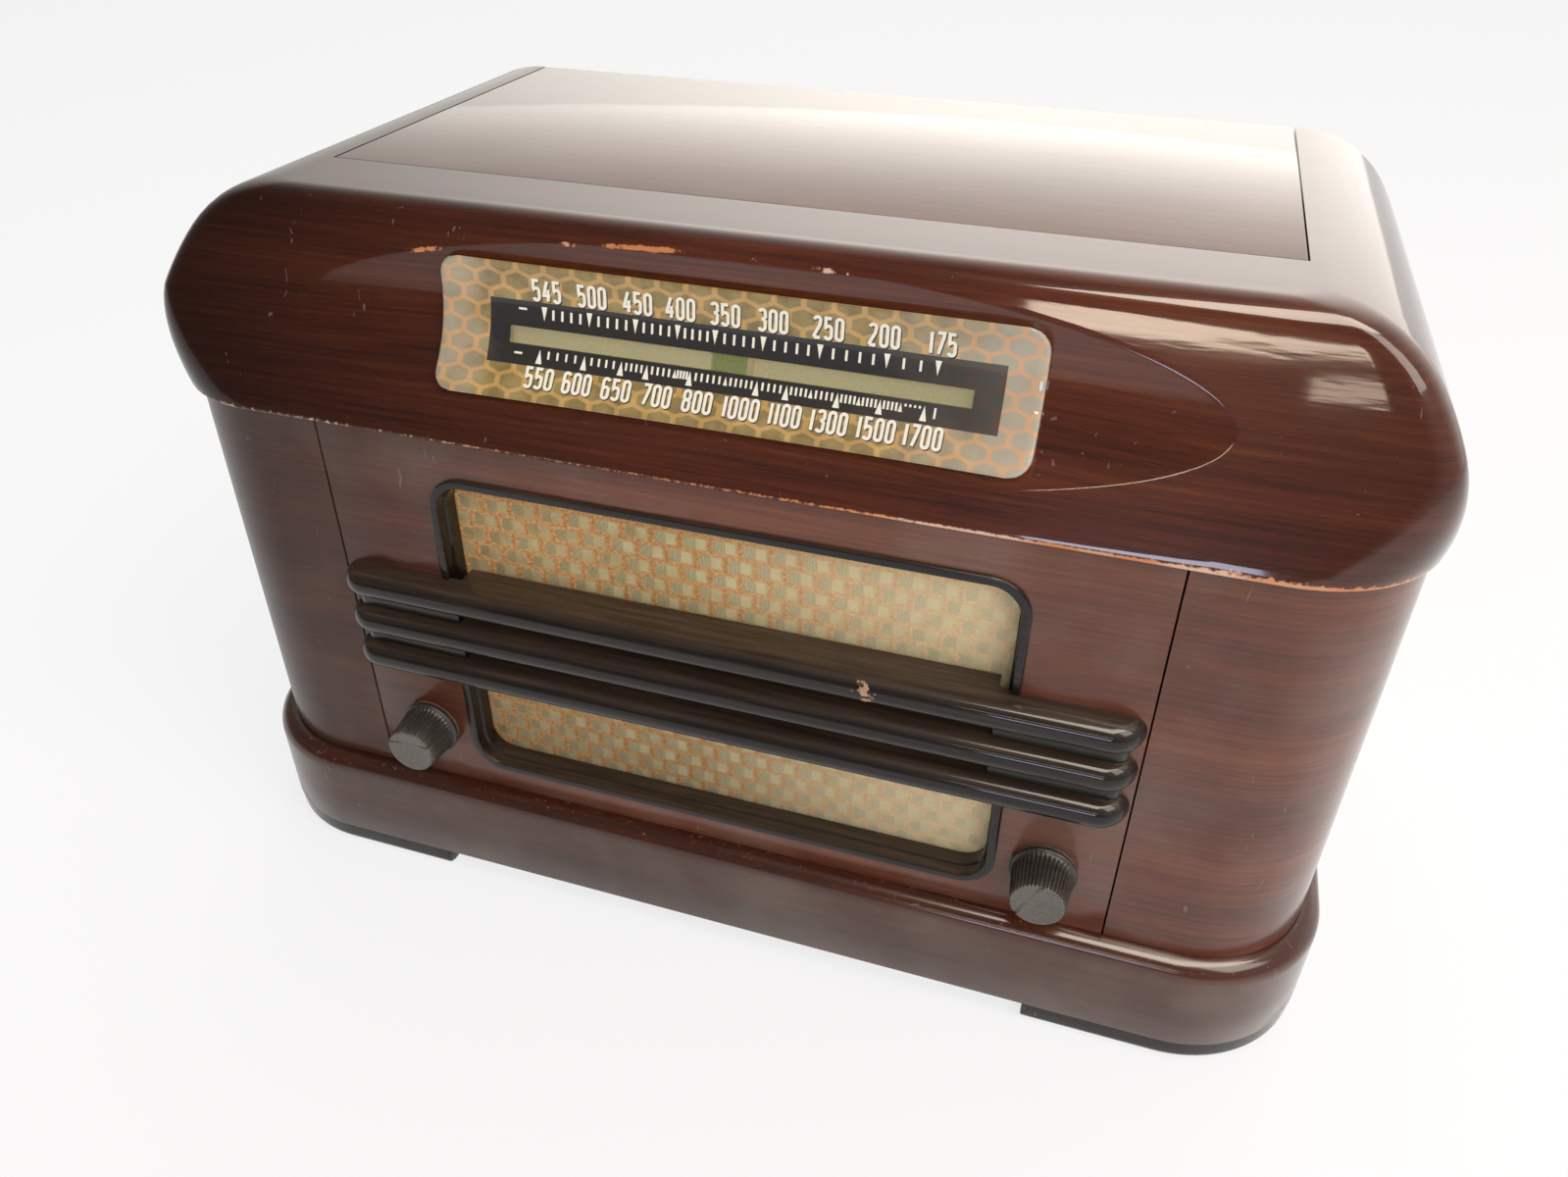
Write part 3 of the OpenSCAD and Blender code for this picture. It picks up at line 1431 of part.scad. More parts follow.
module dial_lamps() {
    base_h = lamp_shell_h - lamp_shell_t;
    color("#d8cfae") at_front() lamp_shell_places() {
        translate([0, 0, -base_h]) cylinder(r = lamp_base_r, h = base_h + 1);
        translate([0, 0, lamp_globe_r]) sphere(lamp_globe_r);
    }
}

side_left();
side_right();
front_panel();
hood();
top_panel();
plinth();
base_board();
foot_left();
foot_right();
seam_blocks();
back_cleats();
grille_trim();
grille_bar_upper();
grille_bar_middle();
grille_bar_lower();
bar_fillers();
grille_cloth();
baffle_board();
dial_glass();
dial_backplate();
dial_screws();
pointer_rail();
dial_pointer();
dial_cord();
pulley_left();
pulley_right();
dial_drum();
gang_frame();
gang_stators();
gang_rotor();
tuning_shaft();
tuning_bushing();
tuning_knob();
volume_control();
volume_shaft();
volume_knob();
knob_felts();
chassis_pan();
chassis_bolts();
tube_sockets();
converter_tube();
if_tube();
detector_tube();
output_tube();
rectifier_tube();
input_if_can();
output_if_can();
filter_capacitor();
output_transformer();
speaker_basket();
speaker_gasket();
cone_surround();
speaker_cone();
speaker_magnet();
speaker_screws();
back_cover();
cover_screws();
cord_grommet();
loop_aerial();
dial_lamps();
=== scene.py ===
"""Table radio with a carved dial recess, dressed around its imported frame.

Lengths in this file are millimetres until scaled() turns them to metres. The
panel frame has y = 0 on the front panel's face and y growing to the back.
"""

import math

import bmesh
import bpy
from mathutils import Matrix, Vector, noise


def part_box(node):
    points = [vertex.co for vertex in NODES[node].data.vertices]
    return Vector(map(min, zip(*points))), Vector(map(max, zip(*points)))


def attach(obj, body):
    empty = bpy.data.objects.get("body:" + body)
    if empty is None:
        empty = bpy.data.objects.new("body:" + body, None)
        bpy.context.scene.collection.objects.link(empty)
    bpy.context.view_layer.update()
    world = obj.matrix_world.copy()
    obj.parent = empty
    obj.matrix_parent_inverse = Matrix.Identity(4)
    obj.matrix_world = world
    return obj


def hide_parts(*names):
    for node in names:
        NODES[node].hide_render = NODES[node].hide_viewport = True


bl_info = {
    "name": "Table radio",
    "version": (1, 0, 0),
    "blender": (4, 5, 0),
    "location": "View3D > Sidebar > Radio",
    "description": "Builds the visible pieces of a wooden table radio",
    "category": "Object",
}

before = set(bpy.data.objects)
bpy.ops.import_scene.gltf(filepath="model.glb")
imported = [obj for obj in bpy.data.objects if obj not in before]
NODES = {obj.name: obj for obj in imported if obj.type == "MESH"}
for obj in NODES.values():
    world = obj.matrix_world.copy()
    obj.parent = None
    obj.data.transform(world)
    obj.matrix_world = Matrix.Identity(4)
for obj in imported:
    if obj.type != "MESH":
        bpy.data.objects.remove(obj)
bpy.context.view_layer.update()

# Cabinet
FRONT_Y = -89.5
BODY_HALF = 189.0
BODY_D = 195.0
BODY_H = 244.4
CORNER_R = 38.0
SIDE_T = 8.0
PANEL_HALF = 127.9
PANEL_T = 8.0
SEAM_W = 0.5
WALL_Z = 35.3

# Hood
HOOD_Z = 182.7
LIP_FRONT = 3.3
LIP_HALF = 190.6
LEAN = math.radians(21.65)
SIDE_ARC_X = 113.5
TOP_ARC_X = 144.6
TOP_ARC_R = 38.0
SIDE_ARC_R = LIP_HALF - SIDE_ARC_X
ARC_TURN = math.atan2(BODY_H - TOP_ARC_R - HOOD_Z, TOP_ARC_X - SIDE_ARC_X)
BROW_R = 8.7
CORNER_TOP_R = 8.3
CORNER_SHRINK = 31.3
CORNER_FADE = 31.0
HOOD_WALL = 9.0
HOOD_FRONT_T = 14.0
TOP_HALF = 142.9
TOP_FRONT_Y = 53.2
TOP_T = 3.0
TOP_SEAM = 0.4

# Recess: a spindle lying along the slope, its axis off the leaning face
RECESS_Z = 214.9
RECESS_L = 132.5
RECESS_H = 27.1
RECESS_DEEP = 9.4
SPINDLE_R = (RECESS_H**2 / RECESS_DEEP + RECESS_DEEP) / 2
SPINDLE_AXIS = SPINDLE_R - RECESS_DEEP
SPINDLE_ARC = (RECESS_L**2 + RECESS_DEEP**2) / (2 * RECESS_DEEP)

# Dial glass
GLASS_HALF_W = 85.75
GLASS_HALF_H = 18.9
GLASS_CORNER = 6.0
GLASS_RAISE = 2.6
GLASS_SEAT = 0.2
GLASS_EDGE = 0.9
OPEN_HALF_W = 78.75
OPEN_HALF_H = 13.9

# Grille
GRILLE_Z = 111.05
TRIM_IN_W = 176.8
TRIM_IN_H = 109.5
TRIM_FACE = 3.6
TRIM_RAISE = 2.4
TRIM_LEG = 1.0
TRIM_CORNER = 8.4
TRIM_PLAY = 0.3
BAR_Z = 112.9
BAR_PITCH = 14.3
BAR_H = 9.5
BAR_OUT = 9.5
BAR_HALF = 127.4
TONGUE_HALF = 85.6
TONGUE_BACK = 6.5
BLOCK_NEAR = 86.0
BLOCK_OUT = 4.5
CLOTH_W = 192.0
CLOTH_H = 124.7
CLOTH_T = 0.8
CHECK_RISE = 0.22
CHECK_DIP = 0.12

# Knobs
KNOB_X = 107.0
KNOB_Z = 66.4
KNOB_BACK = 1.3
KNOB_H = 14.7
SHAFT_HOLE_R = 5.98

# Plinth and feet
PLINTH_Z = 43.3
PLINTH_OUT = 6.6
PLINTH_T = 20.0
PLINTH_ROUND = 6.2
FOOT_H = 7.8
FOOT_W = 24.0
FOOT_GAP = 108.0

# Small rounding of a sawn edge, and names that many pieces share
EDGE_EASE = 0.35
SIDES = (("right", 1), ("left", -1))
BLACK = "black_lacquered_wood"

BLENDER_SCALE = 0.001


def scaled(p):
    """A point of the panel frame, in millimetres, as a Blender point."""
    return Vector((p[0], p[1] + FRONT_Y, p[2])) * BLENDER_SCALE


def linear(code, alpha=1.0):
    """An sRGB hex colour as linear values."""
    parts = [int(code[i : i + 2], 16) / 255 for i in (1, 3, 5)]
    return [c / 12.92 if c <= 0.04045 else ((c + 0.055) / 1.055) ** 2.4 for c in parts] + [alpha]


# Mesh tools


def spread(count, first, last):
    """Even steps from first to last."""
    return [first + (last - first) * i / count for i in range(count + 1)]


def loose_object(name, bm):
    """A smooth object from a bmesh in panel millimetres."""
    for v in bm.verts:
        v.co = scaled(v.co)
    bmesh.ops.recalc_face_normals(bm, faces=bm.faces)
    mesh = bpy.data.meshes.new(name)
    for f in bm.faces:
        f.smooth = True
    bm.to_mesh(mesh)
    bm.free()
    obj = bpy.data.objects.new(name, mesh)
    bpy.context.scene.collection.objects.link(obj)
    return obj


def finish_object(obj, material, body, angle=35.0, slot=None, replaces=()):
    """Makes an object a piece: its sharp edges, material and body; the slot it is given is not used."""
    obj.data.set_sharp_from_angle(angle=math.radians(angle))
    obj.data.materials.clear()
    obj.data.materials.append(material)
    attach(obj, body)
    if replaces:
        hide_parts(*replaces)
    return obj


def finish_mesh(name, bm, material, body, **options):
    """Turns a bmesh in panel millimetres into a named piece that rides."""
    return finish_object(loose_object(name, bm), material, body, **options)


def grid_faces(bm, rows, close=False):
    """Quads between rows of vertices; repeated corners make triangles."""
    made = []
    for a, b in zip(rows, rows[1:]):
        n = len(a)
        for i in range(n if close else n - 1):
            j = (i + 1) % n
            corners = []
            for v in (a[i], a[j], b[j], b[i]):
                if v not in corners:
                    corners.append(v)
            if len(corners) > 2:
                made.append(bm.faces.new(corners))
    return made


def grid_border(grid):
    """The outermost vertices of a grid, in order round it."""
    inner = grid[1:-1]
    return grid[0] + [row[-1] for row in inner] + grid[-1][::-1] + [row[0] for row in inner][::-1]


def loft(bm, rings):
    """A closed prism through rings of points, with flat ends."""
    rows = [[bm.verts.new(p) for p in ring] for ring in rings]
    grid_faces(bm, rows, close=True)
    bm.faces.new(rows[0])
    bm.faces.new(rows[-1])


def lofted_object(name, rings):
    """A helper object through rings of points."""
    bm = bmesh.new()
    loft(bm, rings)
    return loose_object(name, bm)


def circle(count):
    """Angles round a full turn."""
    return [2 * math.pi * i / count for i in range(count)]


def turn_ring(bm, section, centre, count, fuzz=None):
    """Turns a closed section of (radius, y) about an axis along the depth."""
    rows = []
    for r, y in section:
        row = []
        for a in circle(count):
            reach = r + (fuzz(a, y) if fuzz else 0.0)
            row.append(bm.verts.new((centre[0] + reach * math.cos(a), y, centre[1] + reach * math.sin(a))))
        rows.append(row)
    grid_faces(bm, rows + [rows[0]], close=True)


def write_uv(bm, name, place):
    """Writes each corner's place on a sheet, as place() gives it."""
    layer = bm.loops.layers.uv.new(name)
    for face in bm.faces:
        for loop in face.loops:
            loop[layer].uv = place(*loop.vert.co)


def body_path(steps=24, from_x=None):
    """Plan stations round the body from the right back to the left back, as
    (x, y, outward x, outward y), or the right part down to from_x."""
    c = BODY_HALF - CORNER_R
    right = [(BODY_HALF, BODY_D, 1, 0)]
    for t in spread(steps, 0.0, math.pi / 2):
        nx, ny = math.cos(t), -math.sin(t)
        right.append((c + CORNER_R * nx, CORNER_R + CORNER_R * ny, nx, ny))
    if from_x is not None:
        return right + [(from_x, 0, 0, -1)]
    return right + [(-x, y, -nx, ny) for x, y, nx, ny in reversed(right)]


def moulding(bm, path, profile):
    """Sweeps a closed profile of (out, height) points along plan stations."""
    loft(bm, [[(x + nx * out, y + ny * out, z) for out, z in profile] for x, y, nx, ny in path])


def arc(cx, cy, r, start, end, steps):
    """Points of an arc in degrees, both ends included."""
    turns = map(math.radians, spread(steps, start, end))
    return [(cx + r * math.cos(t), cy + r * math.sin(t)) for t in turns]


def box(bm, low, high, bevel=0.0):
    """A box, its edges rounded by bevel."""
    made = bmesh.ops.create_cube(bm, size=1.0)["verts"]
    for v in made:
        v.co = Vector([(high[k] if v.co[k] > 0 else low[k]) for k in range(3)])
    if bevel:
        edges = list({e for v in made for e in v.link_edges})
        bmesh.ops.bevel(bm, geom=edges, offset=bevel, segments=2, affect="EDGES", profile=0.5)


def box_cutter(name, low, high):
    bm = bmesh.new()
    box(bm, low, high)
    return loose_object(name, bm)


def outward(x, z, half_w, half_h):
    """The way out of a rounded rectangle, from its corners' middles."""
    return Vector((x - max(-half_w, min(half_w, x)), z - max(-half_h, min(half_h, z)))).normalized()


def rounded_outline(half_w, half_h, radius):
    """A rounded rectangle about the grille's middle, as (x, height) points."""
    points = []
    for turn, sx, sz in ((0, 1, 1), (90, -1, 1), (180, -1, -1), (270, 1, -1)):
        points += arc(sx * (half_w - radius), sz * (half_h - radius), radius, turn, turn + 90, 8)
    return points


def outline_prism(name, outline, front, back):
    """An outline round the grille's middle, run from one depth to another."""
    return lofted_object(name, [[(x, y, GRILLE_Z + z) for x, z in outline] for y in (front, back)])


def mirror(bm, hand):
    """Moves a right-hand shape to the left if hand is negative."""
    for v in bm.verts:
        v.co.x *= hand


def ease_end(bm, x, depth, radius):
    """Rounds the edges of a moulding's end at x, as deep as depth."""
    ends = [e for e in bm.edges if all(abs(v.co.x - x) < 1e-4 and v.co.y < depth for v in e.verts)]
    bmesh.ops.bevel(bm, geom=ends, offset=radius, segments=2, affect="EDGES", profile=0.5)


def cut_with(obj, cutter, operation="DIFFERENCE"):
    """Applies one exact boolean and removes the cutter."""
    mod = obj.modifiers.new("cut", "BOOLEAN")
    mod.operation = operation
    mod.solver = "EXACT"
    mod.object = cutter
    deps = bpy.context.evaluated_depsgraph_get()
    mesh = bpy.data.meshes.new_from_object(obj.evaluated_get(deps))
    obj.modifiers.remove(mod)
    old = obj.data
    obj.data = mesh
    mesh.name = old.name
    bpy.data.meshes.remove(old)
    bpy.data.objects.remove(cutter)


# Shape of the hood and its recess


def hood_half(z, inset=0.0):
    """Half width of the hood's side outline at a height."""
    join = HOOD_Z + SIDE_ARC_R * math.sin(ARC_TURN)
    if z <= join:
        return SIDE_ARC_X + math.sqrt((SIDE_ARC_R - inset) ** 2 - (z - HOOD_Z) ** 2)
    r = TOP_ARC_R - inset
    return TOP_ARC_X + math.sqrt(max(0.0, r**2 - (z - (BODY_H - TOP_ARC_R)) ** 2))


def front_face(z):
    return (z - HOOD_Z) * math.tan(LEAN) - LIP_FRONT


BROW_Y = front_face(BODY_H) + BROW_R / math.tan(math.radians(45) + LEAN / 2)
BROW_Z = BODY_H - BROW_R
BROW_START = BROW_Z + BROW_R * math.sin(LEAN)


def hood_front(z):
    """Depth of the hood's front at a height, over the brow too."""
    if z <= BROW_START:
        return front_face(z)
    return BROW_Y - math.sqrt(max(0.0, BROW_R**2 - (z - BROW_Z) ** 2))


def hood_corner(z):
    """Radius in plan of the hood's front corners at a height."""
    t = min(1.0, max(0.0, (z - HOOD_Z) / CORNER_FADE))
    return CORNER_TOP_R + CORNER_SHRINK * (1 - t) ** 1.3


def spindle(x):
    return math.sqrt(SPINDLE_ARC**2 - x * x) - (SPINDLE_ARC - SPINDLE_R)


def recess_edge(x):
    """Half height of the recess at a distance from its middle."""
    r = spindle(x)
    return math.sqrt(max(0.0, r * r - SPINDLE_AXIS**2))


def on_slope(x, u, out):
    """A point of the slope frame: along the radio, up the slope, outwards."""
    y = front_face(RECESS_Z) + u * math.sin(LEAN) - out * math.cos(LEAN)
    z = RECESS_Z + u * math.cos(LEAN) + out * math.sin(LEAN)
    return (x, y, z)


def on_spindle(x, angle, lift):
    """A point over the recess's floor, at an angle about the spindle axis."""
    r = spindle(x) - lift
    return on_slope(x, r * math.sin(angle), SPINDLE_AXIS - r * math.cos(angle))


def on_glass(x, v, lift=0.0):
    """A point of the dial glass's face, v millimetres up its bend."""
    r = spindle(x) - GLASS_RAISE
    return on_spindle(x, v / r, GLASS_RAISE + lift)


# Materials


def result(node):
    """The socket that holds a node's result."""
    if node.bl_idname == "ShaderNodeMix":
        return node.outputs[{"FLOAT": 0, "VECTOR": 1, "RGBA": 2}[node.data_type]]
    if node.bl_idname == "ShaderNodeVectorMath" and node.operation in ("LENGTH", "DOT_PRODUCT"):
        return node.outputs["Value"]
    return node.outputs[0]


def add(tree, kind, inputs=None, ramp=None, **settings):
    """Adds a node with its settings, values and links. A node given as an
    input stands for its result, and a hex code for its colour."""
    node = tree.nodes.new(kind)
    for key, value in settings.items():
        setattr(node, key, value)
    if ramp:
        elements = node.color_ramp.elements
        while len(elements) > 1:
            elements.remove(elements[-1])
        for i, (at, colour) in enumerate(ramp):
            element = elements[0] if i == 0 else elements.new(at)
            element.position = at
            if isinstance(colour, str):
                colour = linear(colour)
            element.color = colour if isinstance(colour, list) else (colour, colour, colour, 1)
    for key, value in (inputs or {}).items():
        if isinstance(value, bpy.types.Node):
            value = result(value)
        if isinstance(value, bpy.types.NodeSocket):
            tree.links.new(value, node.inputs[key])
        else:
            node.inputs[key].default_value = linear(value) if isinstance(value, str) else value
    return node


def maths(tree, operation, *values, **settings):
    return add(tree, "ShaderNodeMath", dict(enumerate(values)), operation=operation, **settings)


def vector_maths(tree, operation, *values):
    return add(tree, "ShaderNodeVectorMath", dict(enumerate(values)), operation=operation)


def distance(tree, value, middle):
    return maths(tree, "ABSOLUTE", maths(tree, "SUBTRACT", value, middle))


def remap(tree, value, low=0.0, high=1.0, start=0.0, end=1.0, **settings):
    """Turns low to high into start to end, and holds it there."""
    return add(tree, "ShaderNodeMapRange", dict(enumerate((value, low, high, start, end))), **settings)


def blend(tree, share, first, second, kind="MIX"):
    """Mixes two colours."""
    return add(tree, "ShaderNodeMix", {0: share, 6: first, 7: second}, data_type="RGBA", blend_type=kind)


def noise_field(tree, place, scale, detail, roughness=0.5):
    inputs = {"Vector": place, "Scale": scale, "Detail": detail, "Roughness": roughness}
    return add(tree, "ShaderNodeTexNoise", inputs)


def stretched_noise(tree, place, across, detail, roughness=0.5):
    """A noise with its place multiplied by a factor on each axis."""
    return noise_field(tree, vector_maths(tree, "MULTIPLY", place, across), 1.0, detail, roughness)


def colour_ramp(tree, value, *stops):
    return add(tree, "ShaderNodeValToRGB", {0: value}, ramp=stops)


def two_tone(tree, value, low, high):
    return colour_ramp(tree, value, (0.35, low), (0.65, high))


def bump_map(tree, height, strength, distance):
    """Relief, its distance in metres."""
    return add(tree, "ShaderNodeBump", {"Height": height, "Strength": strength, "Distance": distance})


def mask_named(tree, name):
    """One of the masks that write_masks() gives a piece."""
    return add(tree, "ShaderNodeAttribute", attribute_name=name).outputs["Fac"]


def bare_spots(tree, place, scale, start, share=1.0):
    """Where the wear mask, roughened by a noise, has bared the wood."""
    chips = noise_field(tree, place, scale, 4.0, 0.7)
    rubbed = maths(tree, "ADD", mask_named(tree, "wear"), chips)
    return remap(tree, rubbed, start, 1.24, 0.0, share)


def facing_up(tree):
    """How far a face looks up, from -1 to 1."""
    normal = add(tree, "ShaderNodeNewGeometry").outputs["Normal"]
    return add(tree, "ShaderNodeSeparateXYZ", {0: normal}).outputs[2]


def feed(shader, **sources):
    """Links nodes to the shader's sockets of those names."""
    for key, node in sources.items():
        shader.id_data.links.new(result(node), shader.inputs[key.replace("_", " ")])


def new_material(name, **values):
    """A node material with values on its shader's own sockets."""
    mat = bpy.data.materials.new(name)
    mat.use_nodes = True
    shader = mat.node_tree.nodes["Principled BSDF"]
    for key, value in values.items():
        shader.inputs[key.replace("_", " ")].default_value = value
    return mat, mat.node_tree, shader


def mm_space(tree, across=(1.0, 1.0, 1.0)):
    """Object coordinates in millimetres, stretched by a factor on each axis."""
    place = add(tree, "ShaderNodeTexCoord").outputs["Object"]
    return vector_maths(tree, "MULTIPLY", place, [1000 * k for k in across])


def mahogany(
    name, dark, mid, light, rough=0.3, coat_ior=1.5, coat_rough=0.1, worn=("#C07A4C", "#D0AA96"),
    grey=0.0, film=0.0, top_film=1.0, wear=1.0, coat=1.0,
):
    """Mahogany veneer under toned lacquer, rubbed by age. The eye gets fine
    grain that runs round the cabinet, a film that mirrors, and bare edges."""
    mat, tree, shader = new_material(
        name, Coat_Weight=coat, Coat_Roughness=coat_rough, Coat_IOR=coat_ior, Specular_IOR_Level=0.12
    )
    place = mm_space(tree)
    parts = add(tree, "ShaderNodeSeparateXYZ", {0: place})
    across = mask_named(tree, "across")
    lines = add(tree, "ShaderNodeCombineXYZ", {0: parts.outputs[0], 1: parts.outputs[1], 2: across})
    # Growth lines about 1 mm apart and 40 mm long, pores 0.3 mm by 5 mm
    grain = stretched_noise(tree, lines, (0.02, 0.02, 0.9), 5.0, 0.62)
    bands = stretched_noise(tree, lines, (0.004, 0.004, 0.07), 3.0)
    pores = stretched_noise(tree, lines, (0.17, 0.17, 2.6), 2.0)
    figure = maths(tree, "MULTIPLY", maths(tree, "ADD", grain, bands), 0.5)
    tone = colour_ramp(tree, figure, (0.3, dark), (0.5, mid), (0.7, light))
    pits = colour_ramp(tree, pores, (0.28, 0.66), (0.42, 1.0))
    # Painted shade: where the shade mask lies, the tone is darkened, the haze and sheen thinned and the coat dulled
    painted_shade = mask_named(tree, "painted_shade")
    deep = blend(tree, painted_shade, blend(tree, 1.0, tone, pits, "MULTIPLY"), "#564640", "MULTIPLY")
    # Haze of old polish in soft patches, and painted sheen: a pale grey veil that stands for the lacquer's soft
    # reflection, set per finish and by how far a face looks up
    cloud = noise_field(tree, place, 0.028, 3.0)
    haze_and_sheen_veil = remap(tree, cloud, 0.42, 0.72, film, film + grey)
    haze_and_sheen_facing = remap(tree, facing_up(tree), 0.1, 0.5, 1.0, top_film)
    clear = remap(tree, painted_shade, 0.0, 1.0, 1.0, 0.2)
    haze_and_sheen = maths(tree, "MULTIPLY", maths(tree, "MULTIPLY", haze_and_sheen_veil, haze_and_sheen_facing), clear)
    with_haze_and_reflection = blend(tree, haze_and_sheen, deep, "#8C8078")
    bare = bare_spots(tree, place, 0.55, 1.12, wear)
    wood_tone = colour_ramp(tree, cloud, (0.42, worn[0]), (0.58, worn[1]))
    coloured = blend(tree, bare, with_haze_and_reflection, wood_tone)
    # Scuffs: fine crooked scratches, few and short
    skew = vector_maths(tree, "MULTIPLY", place, (0.35, 0.35, 0.06))
    scratch = noise_field(tree, skew, 1.0, 1.0)
    scratch.inputs["Distortion"].default_value = 1.5
    hair = remap(tree, scratch, 0.765, 0.785, 0.0, 0.2)
    scuffed = blend(tree, hair, coloured, "#9C9AA0")
    dull = remap(tree, bare, 0.0, 1.0, rough, 0.75)
    bump = bump_map(tree, maths(tree, "ADD", grain, pits), 0.12, 0.0002)
    # The lacquer ripples a few hundredths of a millimetre along the grain
    skin = bump_map(tree, stretched_noise(tree, lines, (0.03, 0.03, 0.22), 3.0), 0.3, 0.00007)
    # Under the painted shade the coat is dulled too, so the lacquer mirrors less there
    gloss = remap(tree, painted_shade, 0.0, 1.0, coat, coat * 0.3)
    feed(shader, Base_Color=scuffed, Roughness=dull, Normal=bump, Coat_Normal=skin, Coat_Weight=gloss)
    return mat


def ebonised(name, base="#17110F"):
    """Hardwood stained black and lacquered. The eye gets a near-black body,
    a soft line of light along each round and rubbed brown spots."""
    mat, tree, shader = new_material(
        name, Coat_Weight=1.0, Coat_Roughness=0.07, Coat_IOR=1.38, Roughness=0.4, Specular_IOR_Level=0.12
    )
    place = mm_space(tree)
    grain = stretched_noise(tree, place, (0.03, 0.5, 1.1), 4.0)
    tone = colour_ramp(tree, grain, (0.35, "#0D0908"), (0.55, base), (0.75, "#2A1E19"))
    bare = bare_spots(tree, place, 0.5, 1.16)
    # Dust on whatever faces up, with painted sheen: faces that look up are lightened as if they reflected the
    # bright room
    dust_and_sheen_up = remap(tree, facing_up(tree), 0.5, 1.0, 0.0, 0.42)
    dusted_and_sheened = blend(tree, maths(tree, "MULTIPLY", dust_and_sheen_up, grain), tone, "#7B6453")
    coloured = blend(tree, bare, dusted_and_sheened, "#B08A74")
    bump = bump_map(tree, grain, 0.15, 0.0002)
    feed(shader, Base_Color=coloured, Normal=bump)
    return mat


def plain_stock(name, low, high, size=1.0, stretch=(1, 1, 1), bump=0.1, **values):
    """A stock whose colour drifts between two tones in grains of a size in
    millimetres, with a matching relief. The caller says what it is."""
    mat, tree, shader = new_material(name, **values)
    place = mm_space(tree, [k / size for k in stretch])
    drift = noise_field(tree, place, 1.0, 4.0, 0.6)
    tone = two_tone(tree, drift, low, high)
    feed(shader, Base_Color=tone, Normal=bump_map(tree, drift, bump, 0.0002))
    return mat


# Settings that a user would change


class RadioWoodSettings(bpy.types.PropertyGroup):
    """Colours of the cabinet's veneer."""

    dark: bpy.props.FloatVectorProperty(
        name="Dark grain", description="Darkest tone of the veneer", size=4, subtype="COLOR",
        default=linear("#2F1108"), min=0.0, max=1.0,
    )
    middle: bpy.props.FloatVectorProperty(
        name="Middle grain", description="Usual tone of the veneer", size=4, subtype="COLOR",
        default=linear("#522414"), min=0.0, max=1.0,
    )
    light: bpy.props.FloatVectorProperty(
        name="Light grain", description="Lightest tone of the veneer", size=4, subtype="COLOR",
        default=linear("#6D391E"), min=0.0, max=1.0,
    )
    edge_wear: bpy.props.FloatProperty(
        name="Edge wear", description="How far the lacquer is rubbed off the edges",
        default=1.0, min=0.0, max=1.0, subtype="FACTOR",
    )


class RadioDialSettings(bpy.types.PropertyGroup):
    """Print on the dial glass."""

    numeral_h: bpy.props.FloatProperty(
        name="Numeral height", description="Height of the numbers on the dial",
        default=0.0056, min=0.003, max=0.006, unit="LENGTH",
    )
    mark_w: bpy.props.FloatProperty(
        name="Tick width", description="Width of the scale's ticks", default=0.00068, min=0.0003, max=0.001,
        unit="LENGTH",
    )
    hexagon: bpy.props.FloatProperty(
        name="Hexagon width", description="Width of one hexagon of the print", default=0.0083,
        min=0.004, max=0.012, unit="LENGTH",
    )


class RadioGrilleSettings(bpy.types.PropertyGroup):
    """Weave of the cloth behind the bars."""

    check_w: bpy.props.FloatProperty(
        name="Check width", description="Width of one woven check", default=0.0047, min=0.002, max=0.008,
        unit="LENGTH",
    )
    row_h: bpy.props.FloatProperty(
        name="Row height", description="Height of one row of checks", default=0.00585, min=0.003, max=0.01,
        unit="LENGTH",
    )


class RadioKnobSettings(bpy.types.PropertyGroup):
    """Shape of the two knobs."""

    flutes: bpy.props.IntProperty(
        name="Flutes", description="Grooves round a knob", default=44, min=20, max=60,
    )
    flute_r: bpy.props.FloatProperty(
        name="Flute radius", description="Depth of a groove", default=0.00045, min=0.0002, max=0.0006,
        unit="LENGTH",
    )


class RadioStageSettings(bpy.types.PropertyGroup):
    """Floor and light."""

    floor_colour: bpy.props.FloatVectorProperty(
        name="Floor", description="Colour of the floor", size=4, subtype="COLOR",
        default=linear("#EDEEF2"), min=0.0, max=1.0,
    )
    key_power: bpy.props.FloatProperty(
        name="Key light", description="Power of the largest lamp", default=15.0, min=0.0, max=100.0,
        unit="POWER",
    )


# Masks that the wood's finish reads


def smooth_step(value, low, high):
    t = min(1.0, max(0.0, (value - low) / (high - low)))
    return t * t * (3 - 2 * t)


def write_masks(obj, wear=None, painted_shade=None):
    """Writes per point how far across the grain it lies, its wear and its painted shade."""
    mesh = obj.data
    layers = [mesh.attributes.new(name, "FLOAT", "POINT").data for name in ("across", "wear", "painted_shade")]
    for i, vertex in enumerate(mesh.vertices):
        x, y, z = vertex.co.x * 1000, vertex.co.y * 1000 - FRONT_Y, vertex.co.z * 1000
        layers[0][i].value = z + smooth_step(z, 236, 244) * max(0.0, y - BROW_Y)
        layers[1][i].value = wear(x, y, z) if wear else 0.0
        layers[2][i].value = painted_shade(x, y, z) if painted_shade else 0.0


# Woods that the pieces ask for


def finish_wood(obj, mat, slot="lacquered_wood", replaces=(), angle=35.0, masks=()):
    """Finishes a wooden piece of the cabinet, with the masks its grain reads."""
    write_masks(obj, *masks)
    finish_object(obj, mat, "cabinet", angle=angle, slot=slot, replaces=replaces)


def find_material(name, make):
    """The scene's material of a name, made on first use."""
    return bpy.data.materials.get(name) or make(name)


